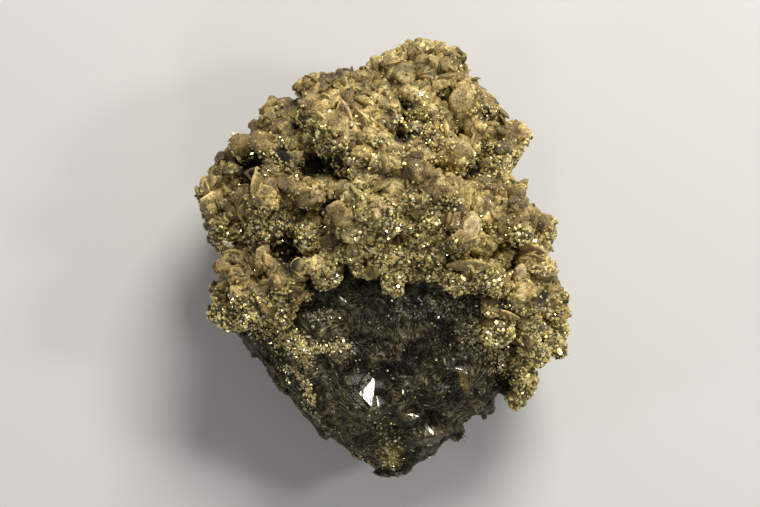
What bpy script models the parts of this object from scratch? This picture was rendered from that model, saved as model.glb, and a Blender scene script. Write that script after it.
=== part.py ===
"""Siderite on pyrite, a mineral specimen that lies on its back.

Metres, +Z up. The specimen's front faces +Z, and its top end in a cabinet faces +Y.
A dark block of massive pyrite carries a crust of siderite crystals that have grown together.
Places and sizes in the lists are millimetres, and MM turns them into metres.
"""

import math
import random

import bmesh
import bpy
from mathutils import Matrix, Vector, noise
from mathutils.bvhtree import BVHTree

MM = 0.001

NOISE_SEED = 5
BLOCK_SEED = 11
CRUST_SEED = 7

# Detail, in millimetres and triangles
VOXEL = 0.6  # the finest detail kept where shapes grow together
BLOCK_TRIANGLES = 2100
CRUST_TRIANGLES = 5500
TOUCHING = 0.02  # points of two folds nearer than this are moved apart
PARTING = 3.0  # how far they are moved, in that distance

# The seat of the block in the crust, in millimetres
SEAT_GAP = 0.6  # at the corners of the block's outer limit; its flat faces have 0.35 to 0.6

# Lumps and lens crystals of the crust, in millimetres
LUMP_DEPTH = 0.85  # of the mean of a lump's other two radii
LUMP_ROUGHNESS = 0.45
LUMP_GRAIN = 3.2
LENS_THICKNESS = 0.42  # of each half of a lens crystal, as a share of its shorter radius
LENS_OVERLAP = 0.45  # how far the middle of each half stands from the keel, in thicknesses
LENS_FACE = 0.55  # the broad face's radius, as a share of the keel's
SMALL_LENS_RADII = (1.5, 2.5)
SMALL_LENS_SLIMNESS = (0.6, 0.9)
SMALL_LENS_LEAN = (10, 65)
SMALL_LENS_SEAT = 0.86  # how far out of a lump's middle a small lens sits, in the lump's radii
SMALL_LENS_REACH = (0.15, 0.95)  # how near to straight up its place may be
HEIGHT_EASE = 4.0  # square millimetres, which keeps a near height from making a peak
HEIGHT_POWER = 1.6
HOLLOW_RIM = 1.0  # how far over the crust's front the middle of a hollow's cutter lies

# The solid mass that carries the lumps, in millimetres
ROOT_RADIUS = 0.8  # of the shorter radius of the lump above
ROOT_START = 0.4  # of the lump's depth, down from its middle
LENS_ROOT_RADIUS = 0.6
LENS_ROOT_DEPTH = 1.0  # how far below a lens crystal's middle its root starts
ROOT_PULL = 0.55  # of the lump's distance from the middle, where its root ends
ROOT_SHIFT_Y = 4.0
ROOT_FOOT_Z = 17.0
ROOT_STEPS = 4
ROOT_SPREAD = 4.5
FLANK_SHIFT_Z = 3.2
FLANK_SHIFT_ASIDE = 2.2
FLANK_FLATNESS = (0.6, 1.0)

# Broken plates that cover the block, in millimetres and degrees
SKIN = 1.7  # how far the plates stand out of the block's sound middle
FLOOR_INSET = 3.4  # how far in from the floor corners the sound middle meets the floor
FLOOR_SINK = 1.0  # how far it goes on below the floor, where it is cut flat
SLAB_MIDDLE = (0, 8, 10)
WEDGE_MIDDLE = (4, -18, 22)
PLATE_COUNT = 220
PLATE_SPACING = 2.6
CROWDED_PLATES = 0.02  # the share of plates that may stand nearer than that
PLATE_TURN = 20
PLATE_TIP = (2, 20)
PLATE_RADII = (3.0, 7.0)
PLATE_SLIMNESS = (0.4, 0.75)
PLATE_THICKNESS = 2.4
PLATE_SUNK = (0.3, 1.1)  # of the skin, from the envelope in to the plate's top
PLATE_BEVEL = 0.9
PLATE_WAVE = 0.5
PLATE_WAVE_GRAIN = 2.0
PLATES_LOWEST_FACING = -0.6  # faces that look further down than this stay bare
PLATES_END_Y = 1.0  # plates cover the bare wedge up to here, and all round the slab below PLATES_LOW_Z
PLATES_LOW_Z = 16.0
LEFT_GRAIN = (0.72, -0.69, 0.0)  # the way of the plates on the wedge's left side
LEFT_FACING = -0.3
LEFT_START_Y = -10.0
SWIRL_MIDDLE = (-2.0, -19.0, 38.0)
BREAK_ROUNDNESS = 0.8  # the depth of a break's ball, as a share of its shorter radius

# How high the crust's front stands over the floor: x, y, z
FRONT_HEIGHTS = [
    (12, 48, 40),
    (2, 47, 38),
    (-15, 44, 36),
    (-27, 37, 30),
    (-36, 27, 27),
    (-43, 17, 25),
    (-40, 8, 27),
    (-38, -2, 34),
    (-41, -9, 31),
    (-30, -10, 41),
    (-15, 0, 47),
    (0, 15, 56),
    (10, 20, 57),
    (20, 10, 55),
    (0, 30, 50),
    (-10, 35, 47),
    (-15, 24, 45),
    (-28, 28, 38),
    (-28, 15, 43),
    (10, 38, 47),
    (20, 40, 42),
    (28, 37, 34),
    (35, 33, 30),
    (30, 24, 38),
    (33, 12, 46),
    (41, 9, 38),
    (37, 2, 41),
    (21, -1, 50),
    (35, -8, 43),
    (43, -8, 32),
    (44, -16, 29),
    (30, -16, 42),
    (36, -28, 33),
    (34, -33, 30),
    (0, 0, 49),
]

# Lumps of crystals: x, y, rise of the top over the front height, radius along, radius across, turn in degrees
CREST_LUMPS = [
    (12.5, 48.2, 0.0, 7.0, 6.6, 0),
    (15.6, 48.8, -1.0, 4.0, 4.8, 0),
    (8.0, 49.6, -1.0, 5.0, 3.5, 20),
    (2.5, 47.2, 0.0, 5.8, 4.7, 0),
    (-1.0, 46.0, -1.0, 4.0, 3.7, 0),
    (-7.0, 44.4, -0.5, 5.2, 3.0, 5),
    (-15.0, 43.8, 0.0, 4.7, 3.4, 0),
    (-14.2, 46.2, -2.0, 1.6, 1.5, 0),
    (-16.8, 45.8, -2.0, 1.6, 1.4, 0),
    (-18.2, 43.8, -2.0, 1.8, 2.4, 0),
    (5.5, 45.2, 1.0, 5.5, 2.2, 15),
    (13.5, 43.5, 0.5, 3.5, 3.0, 0),
    (8.0, 42.0, 0.5, 4.0, 2.5, 0),
    (3.0, 41.8, 0.5, 4.5, 2.8, 0),
    (-2.0, 42.2, 0.0, 4.0, 2.8, 0),
    (19.2, 40.7, 1.5, 3.4, 4.1, 0),
    (24.6, 40.8, 0.0, 3.4, 2.3, -35),
    (28.0, 37.2, 0.0, 3.2, 2.0, -45),
    (21.0, 43.2, -1.0, 2.4, 1.8, -35),
    (18.0, 45.6, -2.0, 2.0, 2.4, 0),
    (10.5, 38.8, 1.0, 4.0, 2.8, 0),
    (14.2, 38.0, 0.5, 2.2, 2.4, 0),
    (2.5, 38.4, -0.5, 3.5, 2.4, 0),
    (-3.5, 38.5, -1.0, 2.5, 2.6, 0),
    (9.5, 33.3, 0.0, 5.0, 3.6, 0),
    (2.0, 35.0, -2.0, 3.6, 2.4, 0),
    (14.6, 33.6, -0.5, 2.4, 3.2, 0),
    (21.5, 37.0, -2.0, 2.6, 2.0, 0),
]
UPPER_FINGER_LUMPS = [
    (23.6, 32.9, 1.0, 4.6, 2.3, 5),
    (29.0, 32.7, 1.0, 4.6, 2.7, 0),
    (34.2, 32.8, 0.5, 2.8, 2.8, 0),
    (31.6, 28.4, -1.0, 2.3, 2.3, 0),
    (28.6, 28.6, -1.0, 2.7, 2.6, 0),
    (25.2, 29.0, -2.0, 2.4, 2.8, 0),
    (29.6, 24.0, 0.0, 2.3, 2.8, 0),
    (26.8, 23.0, -1.0, 2.8, 2.8, 0),
    (18.4, 27.4, 1.5, 4.0, 3.9, 0),
    (21.5, 30.2, -1.0, 2.6, 2.0, 0),
    (13.2, 28.4, -0.5, 3.8, 3.2, 0),
    (8.0, 28.6, -1.0, 3.8, 3.2, 0),
]
LEFT_ARM_LUMPS = [
    (-15.5, 37.5, 2.0, 4.8, 3.6, -20),
    (-10.2, 41.2, 1.0, 3.0, 1.7, 0),
    (-17.6, 41.0, 0.0, 2.6, 2.2, 0),
    (-11.5, 34.2, 3.0, 4.0, 3.3, -40),
    (-5.2, 35.4, 2.0, 4.2, 1.8, -68),
    (-7.8, 30.8, 3.5, 4.2, 3.4, -35),
    (-4.6, 26.9, 3.5, 4.2, 3.4, -20),
    (-1.2, 30.0, 1.5, 3.2, 2.2, 0),
    (2.4, 27.6, 1.5, 4.2, 3.4, -20),
    (-12.8, 29.6, -0.5, 2.2, 2.6, 30),
    (-17.2, 33.6, -1.0, 2.0, 2.8, 0),
    (-9.4, 25.2, 0.0, 2.6, 2.0, -30),
]
UPPER_LEFT_LUMPS = [
    (-23.8, 38.4, 0.0, 3.0, 2.6, 0),
    (-26.8, 37.2, 0.0, 2.4, 2.8, 0),
    (-20.4, 37.6, -3.0, 2.4, 2.4, 0),
    (-29.2, 34.0, 0.0, 3.8, 2.6, 50),
    (-33.0, 30.0, 0.0, 3.8, 2.4, 40),
    (-36.4, 27.4, 0.0, 3.2, 2.0, 35),
    (-24.5, 32.7, 1.5, 2.9, 2.6, 0),
    (-28.2, 29.2, 1.0, 3.4, 2.8, 0),
    (-21.0, 31.0, 0.0, 2.4, 2.6, 0),
    (-25.4, 26.6, 0.5, 3.0, 2.6, 0),
    (-21.6, 25.2, -1.0, 2.2, 2.8, 0),
    (-26.6, 22.9, 1.0, 2.9, 2.0, 30),
    (-28.2, 17.4, 1.5, 2.6, 2.7, 0),
    (-24.4, 18.4, 0.5, 2.8, 2.8, 0),
    (-19.6, 20.4, 0.0, 4.0, 1.6, 5),
    (-14.3, 20.2, 0.5, 3.6, 1.8, -5),
    (-11.2, 18.6, 0.5, 2.6, 2.0, 0),
]
FAR_LEFT_LUMPS = [
    (-39.2, 22.9, 0.0, 3.0, 3.0, 0),
    (-36.5, 22.2, 1.0, 1.8, 3.0, 0),
    (-42.0, 19.6, 0.0, 2.5, 2.6, 0),
    (-43.4, 15.8, 0.0, 2.2, 2.6, 0),
    (-42.3, 13.4, -1.0, 2.2, 2.0, 0),
    (-38.6, 17.6, 1.0, 3.4, 3.2, 0),
    (-37.6, 12.2, 2.0, 4.7, 3.6, 0),
    (-40.3, 9.6, 0.0, 2.3, 2.9, 0),
    (-34.4, 15.6, -1.0, 2.2, 3.4, 0),
    (-38.4, 6.8, -1.5, 2.4, 1.6, 0),
    (-34.2, 8.4, -0.5, 2.4, 2.2, 0),
    (-31.4, 12.0, 0.0, 3.0, 2.6, 0),
    (-28.0, 9.6, -2.0, 3.6, 3.0, 0),
    (-22.4, 10.8, -2.0, 3.4, 3.0, 0),
    (-17.8, 9.6, -2.5, 3.4, 3.0, 0),
    (-16.4, 5.4, -2.0, 3.4, 2.6, 0),
    (-30.8, 6.4, -2.0, 2.8, 2.2, 0),
]
CENTRE_LUMPS = [
    (-7.0, 16.6, 0.5, 4.0, 2.6, 0),
    (-6.4, 10.6, 0.5, 3.8, 3.4, 0),
    (-10.6, 7.4, 0.5, 3.6, 3.0, 0),
    (-2.0, 13.6, 0.5, 4.2, 3.6, 0),
    (-1.4, 8.0, 0.0, 3.8, 3.2, 0),
    (-6.0, 4.8, 0.5, 3.6, 2.8, 0),
    (3.0, 18.4, 0.5, 4.5, 3.6, 0),
    (-3.0, 21.0, 0.5, 4.6, 2.8, -10),
    (4.2, 22.6, 1.5, 5.6, 2.9, -22),
    (9.6, 21.6, 1.0, 5.0, 3.0, -25),
    (13.6, 18.0, 0.5, 5.0, 3.6, -20),
    (8.5, 15.6, 0.0, 4.5, 3.6, 0),
    (3.0, 11.6, 0.0, 4.5, 3.6, 0),
    (9.4, 9.4, 0.0, 4.5, 3.6, 0),
    (14.0, 12.2, 0.0, 3.6, 3.4, 0),
    (19.6, 17.8, 0.5, 5.0, 3.1, -10),
    (25.0, 18.2, 0.5, 4.6, 2.9, -10),
    (17.4, 12.0, 1.0, 3.2, 3.5, 0),
    (1.0, 3.6, -0.5, 4.5, 3.0, 0),
    (7.0, 3.6, -0.5, 4.5, 3.3, 0),
    (13.0, 4.2, -0.5, 4.0, 3.2, 0),
    (17.6, 4.4, -2.0, 3.2, 2.4, 0),
    (-4.4, 0.4, -1.5, 3.8, 2.2, 15),
    (3.5, -0.8, -2.0, 4.0, 2.8, 0),
    (9.5, -1.4, -2.5, 3.8, 2.8, 0),
    (3.2, -4.6, -4.0, 2.4, 3.2, 0),
    (14.6, -0.4, -2.5, 3.0, 2.6, 0),
]
RIGHT_FINGER_LUMPS = [
    (27.4, 13.6, 1.0, 4.6, 3.6, -20),
    (33.0, 11.6, 1.5, 5.0, 3.8, -20),
    (37.8, 9.2, 1.0, 4.2, 3.2, -15),
    (40.2, 8.9, 0.0, 2.3, 3.3, 0),
    (31.6, 18.2, -0.5, 2.2, 2.4, 0),
    (34.2, 15.6, -1.5, 2.4, 1.2, -20),
    (30.2, 20.4, -1.0, 2.2, 1.8, 0),
    (29.2, 8.6, -1.5, 3.6, 2.4, 0),
    (34.6, 7.6, -2.0, 3.6, 1.8, 0),
    (37.0, 3.0, 0.0, 3.2, 2.4, 0),
    (38.0, 0.4, -0.5, 2.8, 1.9, 0),
    (29.0, 2.4, -4.0, 2.6, 3.6, 0),
    (25.2, 5.0, -2.5, 2.2, 2.6, 0),
]
LOWER_RIGHT_LUMPS = [
    (20.2, -3.4, -2.0, 5.2, 2.4, 0),
    (26.6, -3.4, 0.5, 4.4, 2.6, -42),
    (38.6, -2.8, 0.0, 3.2, 3.0, 0),
    (31.0, -5.4, -0.5, 3.0, 3.0, 0),
    (35.4, -8.0, 2.0, 4.3, 3.8, -20),
    (41.8, -7.6, 0.5, 3.0, 4.0, -15),
    (42.8, -12.4, 0.0, 2.5, 3.4, 0),
    (43.8, -15.8, 0.0, 2.2, 2.2, 0),
    (28.2, -8.8, 0.0, 3.4, 3.4, 0),
    (28.4, -16.4, 0.5, 3.8, 2.6, -15),
    (36.0, -13.6, 0.0, 3.4, 2.8, 0),
    (40.0, -16.2, 0.0, 3.2, 3.2, 0),
    (41.4, -19.2, 0.0, 2.8, 2.4, 0),
    (36.4, -18.6, 0.5, 3.0, 3.4, 0),
    (37.8, -22.0, 0.0, 2.8, 2.4, 0),
    (34.8, -24.2, 0.5, 2.2, 3.0, 0),
    (36.0, -28.2, 0.0, 2.3, 3.4, 0),
    (34.2, -32.0, 0.0, 2.2, 3.0, 0),
]
LOWER_LEFT_LUMPS = [
    (-32.0, 2.2, 0.0, 2.6, 1.8, 0),
    (-36.8, -1.2, 1.5, 3.6, 3.4, 0),
    (-31.4, -0.8, 1.0, 3.8, 3.0, 0),
    (-28.0, -1.5, 0.0, 2.4, 2.2, 0),
    (-38.4, -4.2, 0.0, 2.5, 2.0, 0),
    (-34.0, -4.6, 0.5, 2.6, 1.8, 0),
    (-22.6, -2.8, 1.5, 4.2, 1.9, 40),
    (-17.5, -0.3, 1.5, 4.2, 2.3, 15),
    (-11.8, 2.2, 1.5, 4.0, 1.9, 20),
    (-14.0, -2.4, -0.5, 3.6, 1.7, -15),
    (-38.8, -7.6, 0.0, 3.0, 2.6, 0),
    (-41.0, -9.8, 0.0, 2.0, 2.6, 0),
    (-33.0, -8.0, 0.5, 3.4, 2.6, 0),
    (-27.0, -6.8, 0.5, 4.0, 3.0, 0),
    (-21.5, -6.4, 0.0, 3.4, 2.4, 0),
    (-37.0, -11.8, 0.0, 3.4, 2.4, 0),
    (-30.5, -12.0, 0.0, 3.6, 2.2, 0),
    (-24.6, -11.4, 0.0, 3.0, 2.6, 0),
    (-40.2, -13.4, -1.0, 1.8, 1.5, 0),
]

# Single lens crystals that stand out: x, y, rise, longer radius, shorter radius, turn, lean in degrees
# A lean of 0 shows its broad face to the front, and 90 shows its edge.
LENS_CRYSTALS = [
    (19.2, 40.6, 1.6, 4.0, 3.2, 80, 10),
    (21.6, 8.6, 1.3, 4.4, 2.9, 80, 12),
    (34.0, -2.3, 1.5, 2.9, 1.9, 75, 20),
    (39.4, -10.4, 2.0, 2.2, 1.5, -40, 35),
    (-18.4, 17.4, 2.0, 5.6, 3.0, -8, 15),
    (-30.8, 19.2, 2.5, 5.0, 2.2, 88, 50),
    (-28.2, 17.4, 2.5, 2.7, 2.5, 0, 10),
    (-10.8, 13.5, 2.0, 2.7, 2.5, 0, 25),
    (-8.5, 37.2, 3.0, 3.7, 1.9, -69, 65),
    (-5.0, 34.8, 2.6, 4.2, 2.2, -68, 55),
    (-13.6, 40.8, 2.0, 1.9, 1.5, -50, 50),
    (21.2, -0.2, 1.5, 5.8, 2.4, 0, 55),
    (30.0, -12.4, 1.5, 4.1, 2.2, -12, 60),
    (-29.4, 2.2, 2.5, 2.7, 2.2, 60, 30),
    (-36.6, 2.8, 1.0, 3.0, 1.8, 0, 55),
    (18.4, 27.5, 2.6, 4.2, 3.9, 0, 15),
    (16.0, 43.4, 1.5, 2.8, 2.2, 60, 45),
    (37.0, 3.6, 1.5, 3.4, 2.2, -10, 60),
    (37.2, 1.6, 1.0, 3.2, 2.0, -10, 60),
    (-36.6, 22.4, 2.0, 3.0, 1.8, 85, 60),
    (-26.6, 22.8, 2.0, 3.0, 2.0, 30, 35),
    (-37.8, 12.4, 3.0, 4.4, 3.0, 10, 35),
    (35.0, -7.0, 3.0, 3.8, 2.6, -25, 35),
]

# Deep hollows between the lumps: x, y, depth below the front height, radius across, radius along, turn
HOLLOWS = [
    (-31.2, 25.6, 9.0, 3.2, 3.0, 0),
    (-15.2, 24.4, 12.0, 4.3, 2.7, -5),
    (-12.8, 14.2, 7.0, 3.6, 1.3, 40),
    (-23.6, 2.6, 9.0, 2.6, 4.0, -20),
    (16.6, 42.0, 5.0, 1.0, 2.6, -15),
    (4.6, 31.4, 6.5, 1.6, 2.6, 30),
    (22.8, 23.8, 7.0, 1.5, 3.4, 15),
    (33.6, 4.6, 6.0, 3.2, 1.0, 5),
    (23.6, 37.6, 5.0, 2.4, 1.4, 20),
    (-21.2, 35.2, 5.0, 1.3, 2.4, 0),
    (40.0, -7.2, 4.0, 0.9, 2.6, 40),
    (30.4, -10.2, 5.0, 1.8, 1.2, 0),
]

# The block's slab under the crust and its bare wedge, as the corners of two convex solids: x, y, z
SLAB_CORNERS = [
    (-22, -24, 0),
    (-27, 12, 0),
    (-18, 32, 0),
    (2, 41, 0),
    (19, 36, 0),
    (29, 14, 0),
    (27, -24, 0),
    (-35, -12, 8),
    (-36, 12, 9),
    (-27, 32, 8),
    (-8, 41, 9),
    (12, 48, 8),
    (26, 34, 9),
    (34, 14, 8),
    (38, -10, 9),
    (-33, -10, 19),
    (-32, 12, 20),
    (-20, 33, 19),
    (6, 42, 21),
    (22, 31, 20),
    (30, 12, 21),
    (34, -10, 20),
]
WEDGE_CORNERS = [
    (-28, -4, 0),
    (-23, -18, 0),
    (-14, -33, 0),
    (4, -38, 0),
    (18, -32, 0),
    (28, -18, 0),
    (30, -4, 0),
    (-40.0, -14.5, 17),
    (-39.2, -16.5, 12),
    (-31, -27.5, 20),
    (-20, -38.6, 21),
    (-15, -44.2, 19),
    (-8, -49.0, 20),
    (-3, -51.0, 12),
    (1.2, -55.0, 17),
    (3.6, -55.0, 19),
    (9.5, -51.5, 16),
    (16.5, -46.8, 15),
    (19.5, -42.5, 18),
    (28.0, -36.0, 20),
    (36.0, -28.0, 20),
    (38.0, -18.0, 20),
    (-36, -7, 27),
    (-25, -14, 35.5),
    (-20, -35, 37),
    (-4, -37, 39),
    (14, -34.5, 39),
    (30, -31.5, 33),
    (34, -26, 28),
    (33, -8, 36),
    (20, -3, 43),
    (0, 2, 43),
    (-20, 2, 41),
]
# Broken fragments at the wedge's lower right: x, y, z, radii along x, y and z
FRAGMENTS = [
    (25.0, -35.6, 22.0, 4.2, 3.4, 5.0),
    (18.4, -41.4, 18.0, 3.2, 3.4, 5.0),
    (31.5, -31.5, 25.0, 3.0, 2.4, 4.0),
]
# Shell-shaped breaks in the wedge: x, y, depth below its front, radius across, radius along
SHELL_BREAKS = [
    (-15.0, -10.0, 1.6, 3.7, 3.6),
    (-4.0, -7.5, 1.2, 5.2, 4.2),
    (2.0, -12.5, 1.0, 4.0, 5.0),
    (9.0, -14.0, 1.4, 5.0, 3.0),
    (-1.0, -21.5, 2.4, 5.5, 3.6),
    (8.0, -24.0, 1.4, 3.4, 3.8),
    (18.0, -12.0, 1.2, 6.0, 2.6),
    (-14.0, -28.5, 1.6, 3.4, 4.6),
    (15.0, -29.0, 1.4, 5.0, 2.6),
    (24.0, -24.0, 1.0, 5.0, 4.0),
    (-16.0, -33.0, 1.2, 2.8, 2.4),
]

LUMPS = (
    CREST_LUMPS
    + UPPER_FINGER_LUMPS
    + LEFT_ARM_LUMPS
    + UPPER_LEFT_LUMPS
    + FAR_LEFT_LUMPS
    + CENTRE_LUMPS
    + RIGHT_FINGER_LUMPS
    + LOWER_RIGHT_LUMPS
    + LOWER_LEFT_LUMPS
)

# The crust's flank: a path inside its outline, and the levels at which lumps follow it
RIM = [
    (-43, 14),
    (-41, 20),
    (-37, 25),
    (-31.5, 31),
    (-26, 36),
    (-19, 41.5),
    (-10, 43.5),
    (-1, 47),
    (6, 48.5),
    (13, 51),
    (17.5, 47),
    (21.5, 41.5),
    (26.5, 38),
    (28, 31),
    (29.5, 25),
    (29.5, 20),
    (33, 15),
    (35.5, 10),
    (37.5, 3),
    (39.5, -3),
    (42, -9),
    (42, -15),
    (39, -20),
    (36, -26),
    (-41, 9),
    (-38, 4),
    (-38, -2),
    (-39, -8),
    (-39, -12),
]
FLANK_LEVELS = [
    # level, how far inside the rim, smallest and largest radius
    (25.0, 1.8, 2.6, 5.2),
    (19.5, 2.2, 2.4, 5.2),
    (13.0, 3.6, 2.2, 4.8),
]


def millimetres(*values):
    return Vector(values) * MM


def front_height(x, y):
    """The height of the crust's front at a place, eased between the heights in FRONT_HEIGHTS."""
    total = 0.0
    weights = 0.0
    for near_x, near_y, height in FRONT_HEIGHTS:
        apart = (x - near_x) ** 2 + (y - near_y) ** 2
        weight = 1.0 / (apart + HEIGHT_EASE) ** HEIGHT_POWER
        total += weight * height
        weights += weight
    return total / weights


def new_object(name, shape, collection):
    """An object made from a bmesh, which is freed."""
    mesh = bpy.data.meshes.new(name)
    shape.to_mesh(mesh)
    shape.free()
    made = bpy.data.objects.new(name, mesh)
    collection.objects.link(made)
    return made


def helper(name, shape, collection):
    """A cutter or another shape that is only used to make the pieces."""
    made = new_object(name, shape, collection)
    made.hide_render = True
    made.display_type = "WIRE"
    return made


def finished_mesh(source, name):
    """The mesh of an object with its modifiers applied."""
    graph = bpy.context.evaluated_depsgraph_get()
    mesh = bpy.data.meshes.new_from_object(source.evaluated_get(graph))
    mesh.name = name
    return mesh


def add_hull(shape, corners):
    """Adds the convex solid around the corners."""
    points = [shape.verts.new(millimetres(*corner)) for corner in corners]
    hull = bmesh.ops.convex_hull(shape, input=points)
    inside = set(hull["geom_interior"] + hull["geom_unused"])
    bmesh.ops.delete(shape, geom=[point for point in points if point in inside], context="VERTS")
    bmesh.ops.recalc_face_normals(shape, faces=shape.faces[:])


def absorb(shape, added):
    """Adds one bmesh to another, which stays quick however large it grows, and frees the first."""
    carrier = bpy.data.meshes.new("carrier")
    added.to_mesh(carrier)
    added.free()
    shape.from_mesh(carrier)
    bpy.data.meshes.remove(carrier)


def add_ball(shape, middle, radii, turn=0.0, detail=2):
    """Adds an ellipsoid. The middle and radii are in millimetres, and the turn is about Z in degrees."""
    place = Matrix.Translation(millimetres(*middle)) @ Matrix.Rotation(math.radians(turn), 4, "Z")
    sized = place @ Matrix.Diagonal((*millimetres(*radii), 1.0))
    ball = bmesh.new()
    bmesh.ops.create_icosphere(ball, subdivisions=detail, radius=1.0, matrix=sized)
    absorb(shape, ball)


def add_lens(shape, middle, long, wide, turn, lean, lean_way, sides=9):
    """Adds a flat crystal like a lens cut with a few faces: a broad face, sloping sides and a keel."""
    turned = Matrix.Rotation(math.radians(turn), 4, "Z")
    leaned = Matrix.Rotation(math.radians(lean), 4, lean_way)
    thick = LENS_THICKNESS * wide
    sized = Matrix.Diagonal((*millimetres(long, wide, thick), 1.0))
    place = Matrix.Translation(millimetres(*middle)) @ leaned @ turned @ sized
    for upward in (1.0, -1.0):
        half = Matrix.Translation((0.0, 0.0, LENS_OVERLAP * upward))
        if upward < 0:
            half = half @ Matrix.Rotation(math.pi, 4, "X")
        facets = bmesh.new()
        bmesh.ops.create_cone(
            facets,
            cap_ends=True,
            segments=sides,
            radius1=1.0,
            radius2=LENS_FACE,
            depth=1.0,
            matrix=place @ half,
        )
        absorb(shape, facets)


def material(name, colour, roughness, metallic):
    made = bpy.data.materials.new(name)
    made.use_nodes = True
    surface = made.node_tree.nodes["Principled BSDF"]
    surface.inputs["Base Color"].default_value = (*colour, 1.0)
    surface.inputs["Roughness"].default_value = roughness
    surface.inputs["Metallic"].default_value = metallic
    return made


def roughen(shape, height, grain):
    """Moves the points by smooth noise, which keeps turned and cut shapes from looking so."""
    for point in shape.verts:
        point.co += noise.noise_vector(point.co / (grain * MM)) * height * MM


def lump_middle(x, y, rise, long, wide):
    """The middle of a lump and its radius in Z, from the height that its top reaches."""
    deep = LUMP_DEPTH * (long + wide) / 2
    return Vector((x, y, front_height(x, y) + rise - deep)), deep


def add_roots(shape, middle, radius):
    """Adds the solid mass that carries a lump, as balls that grow on the way down to the block."""
    foot = Vector((ROOT_PULL * middle.x, ROOT_PULL * middle.y + ROOT_SHIFT_Y, ROOT_FOOT_Z))
    for step in range(1, ROOT_STEPS + 1):
        along = step / ROOT_STEPS
        ball = radius + math.sqrt(along) * ROOT_SPREAD
        add_ball(shape, middle.lerp(foot, along), (ball, ball, ball), detail=1)


def add_small_lenses(shape, middle, radii, count, dice):
    """Adds small lens crystals around the outward half of a lump, most of them on edge as in a rosette."""
    for _ in range(count):
        around = dice.uniform(0.0, math.tau)
        up = dice.uniform(*SMALL_LENS_REACH)
        level = math.sqrt(1.0 - up * up)
        outward = Vector((math.cos(around) * level, math.sin(around) * level, up))
        place = middle + Vector(outward[i] * radii[i] * SMALL_LENS_SEAT for i in range(3))
        long = dice.uniform(*SMALL_LENS_RADII)
        wide = long * dice.uniform(*SMALL_LENS_SLIMNESS)
        turn = dice.uniform(0, 180)
        lean = dice.uniform(*SMALL_LENS_LEAN)
        add_lens(shape, place, long, wide, turn, lean, dice.choice("XY"), 7)


def crust_shape(dice):
    """Every lump and crystal of the crust, as closed shapes that overlap."""
    shape = bmesh.new()
    for x, y, rise, long, wide, turn in LUMPS:
        middle, deep = lump_middle(x, y, rise, long, wide)
        add_ball(shape, middle, (long, wide, deep), turn, detail=3)
        add_roots(shape, middle - Vector((0, 0, ROOT_START * deep)), ROOT_RADIUS * min(long, wide))
    for level_z, inset, low, high in FLANK_LEVELS:
        for x, y in RIM:
            radius = dice.uniform(low, high)
            inward = 1.0 - (inset + radius - low) / math.hypot(x, y)
            aside = Vector((-y, x, 0)).normalized() * dice.uniform(-FLANK_SHIFT_ASIDE, FLANK_SHIFT_ASIDE)
            level = level_z + dice.uniform(-FLANK_SHIFT_Z, FLANK_SHIFT_Z)
            place = Vector((x * inward, y * inward, level)) + aside
            add_ball(shape, place, (radius, radius, radius * dice.uniform(*FLANK_FLATNESS)), detail=3)
            add_roots(shape, place, ROOT_RADIUS * radius)
            add_small_lenses(shape, place, (radius, radius, radius), 1, dice)
    roughen(shape, LUMP_ROUGHNESS, LUMP_GRAIN)
    for x, y, rise, long, wide, turn in LUMPS:
        middle, deep = lump_middle(x, y, rise, long, wide)
        add_small_lenses(shape, middle, (min(long, wide),) * 2 + (deep,), 1, dice)
    for x, y, rise, long, wide, turn, lean in LENS_CRYSTALS:
        top = front_height(x, y) + rise
        reach = (abs(math.sin(math.radians(lean))) + LENS_THICKNESS) * wide
        lean_way = Vector((math.cos(math.radians(turn)), math.sin(math.radians(turn)), 0.0))
        add_lens(shape, (x, y, top - reach), long, wide, turn, lean, lean_way)
        add_roots(shape, Vector((x, y, top - reach - LENS_ROOT_DEPTH)), LENS_ROOT_RADIUS * wide)
    return shape


def hollow_cutter():
    shape = bmesh.new()
    for x, y, depth, across, along, turn in HOLLOWS:
        add_ball(shape, (x, y, front_height(x, y) + HOLLOW_RIM), (across, along, depth + HOLLOW_RIM), turn)
    return shape


def sound_corners(corners, middle):
    """The corners of a solid's sound middle, which lie under the skin, and under the floor to be cut flat."""
    moved = []
    for corner in corners:
        way = Vector(middle) - Vector(corner)
        if corner[2] == 0:
            way.z = 0
            inner = Vector(corner) + way.normalized() * FLOOR_INSET
            inner.z = -FLOOR_SINK
        else:
            inner = Vector(corner) + way.normalized() * SKIN
        moved.append(inner)
    return moved


def fragment_shape():
    shape = bmesh.new()
    for x, y, z, across, along, deep in FRAGMENTS:
        add_ball(shape, (x, y, z), (across, along, deep), detail=1)
    return shape


def block_solids(name, cutters, grown=0.0):
    """The block's outer limit as its wedge, its slab and its fragments, each grown outwards where asked."""
    slab = bmesh.new()
    add_hull(slab, SLAB_CORNERS)
    wedge = bmesh.new()
    add_hull(wedge, WEDGE_CORNERS)
    solids = [helper(name, shape, cutters) for shape in (wedge, slab, fragment_shape())]
    for solid in solids:
        if grown:
            swell = solid.modifiers.new("Swell", "DISPLACE")
            swell.strength = grown * MM
            swell.mid_level = 0.0
    return solids


def boolean(piece, other, operation, solver="EXACT"):
    """Joins another object to a piece or cuts the piece with it, as a modifier."""
    change = piece.modifiers.new(other.name, "BOOLEAN")
    change.operation = operation
    change.object = other
    change.solver = solver


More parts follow.
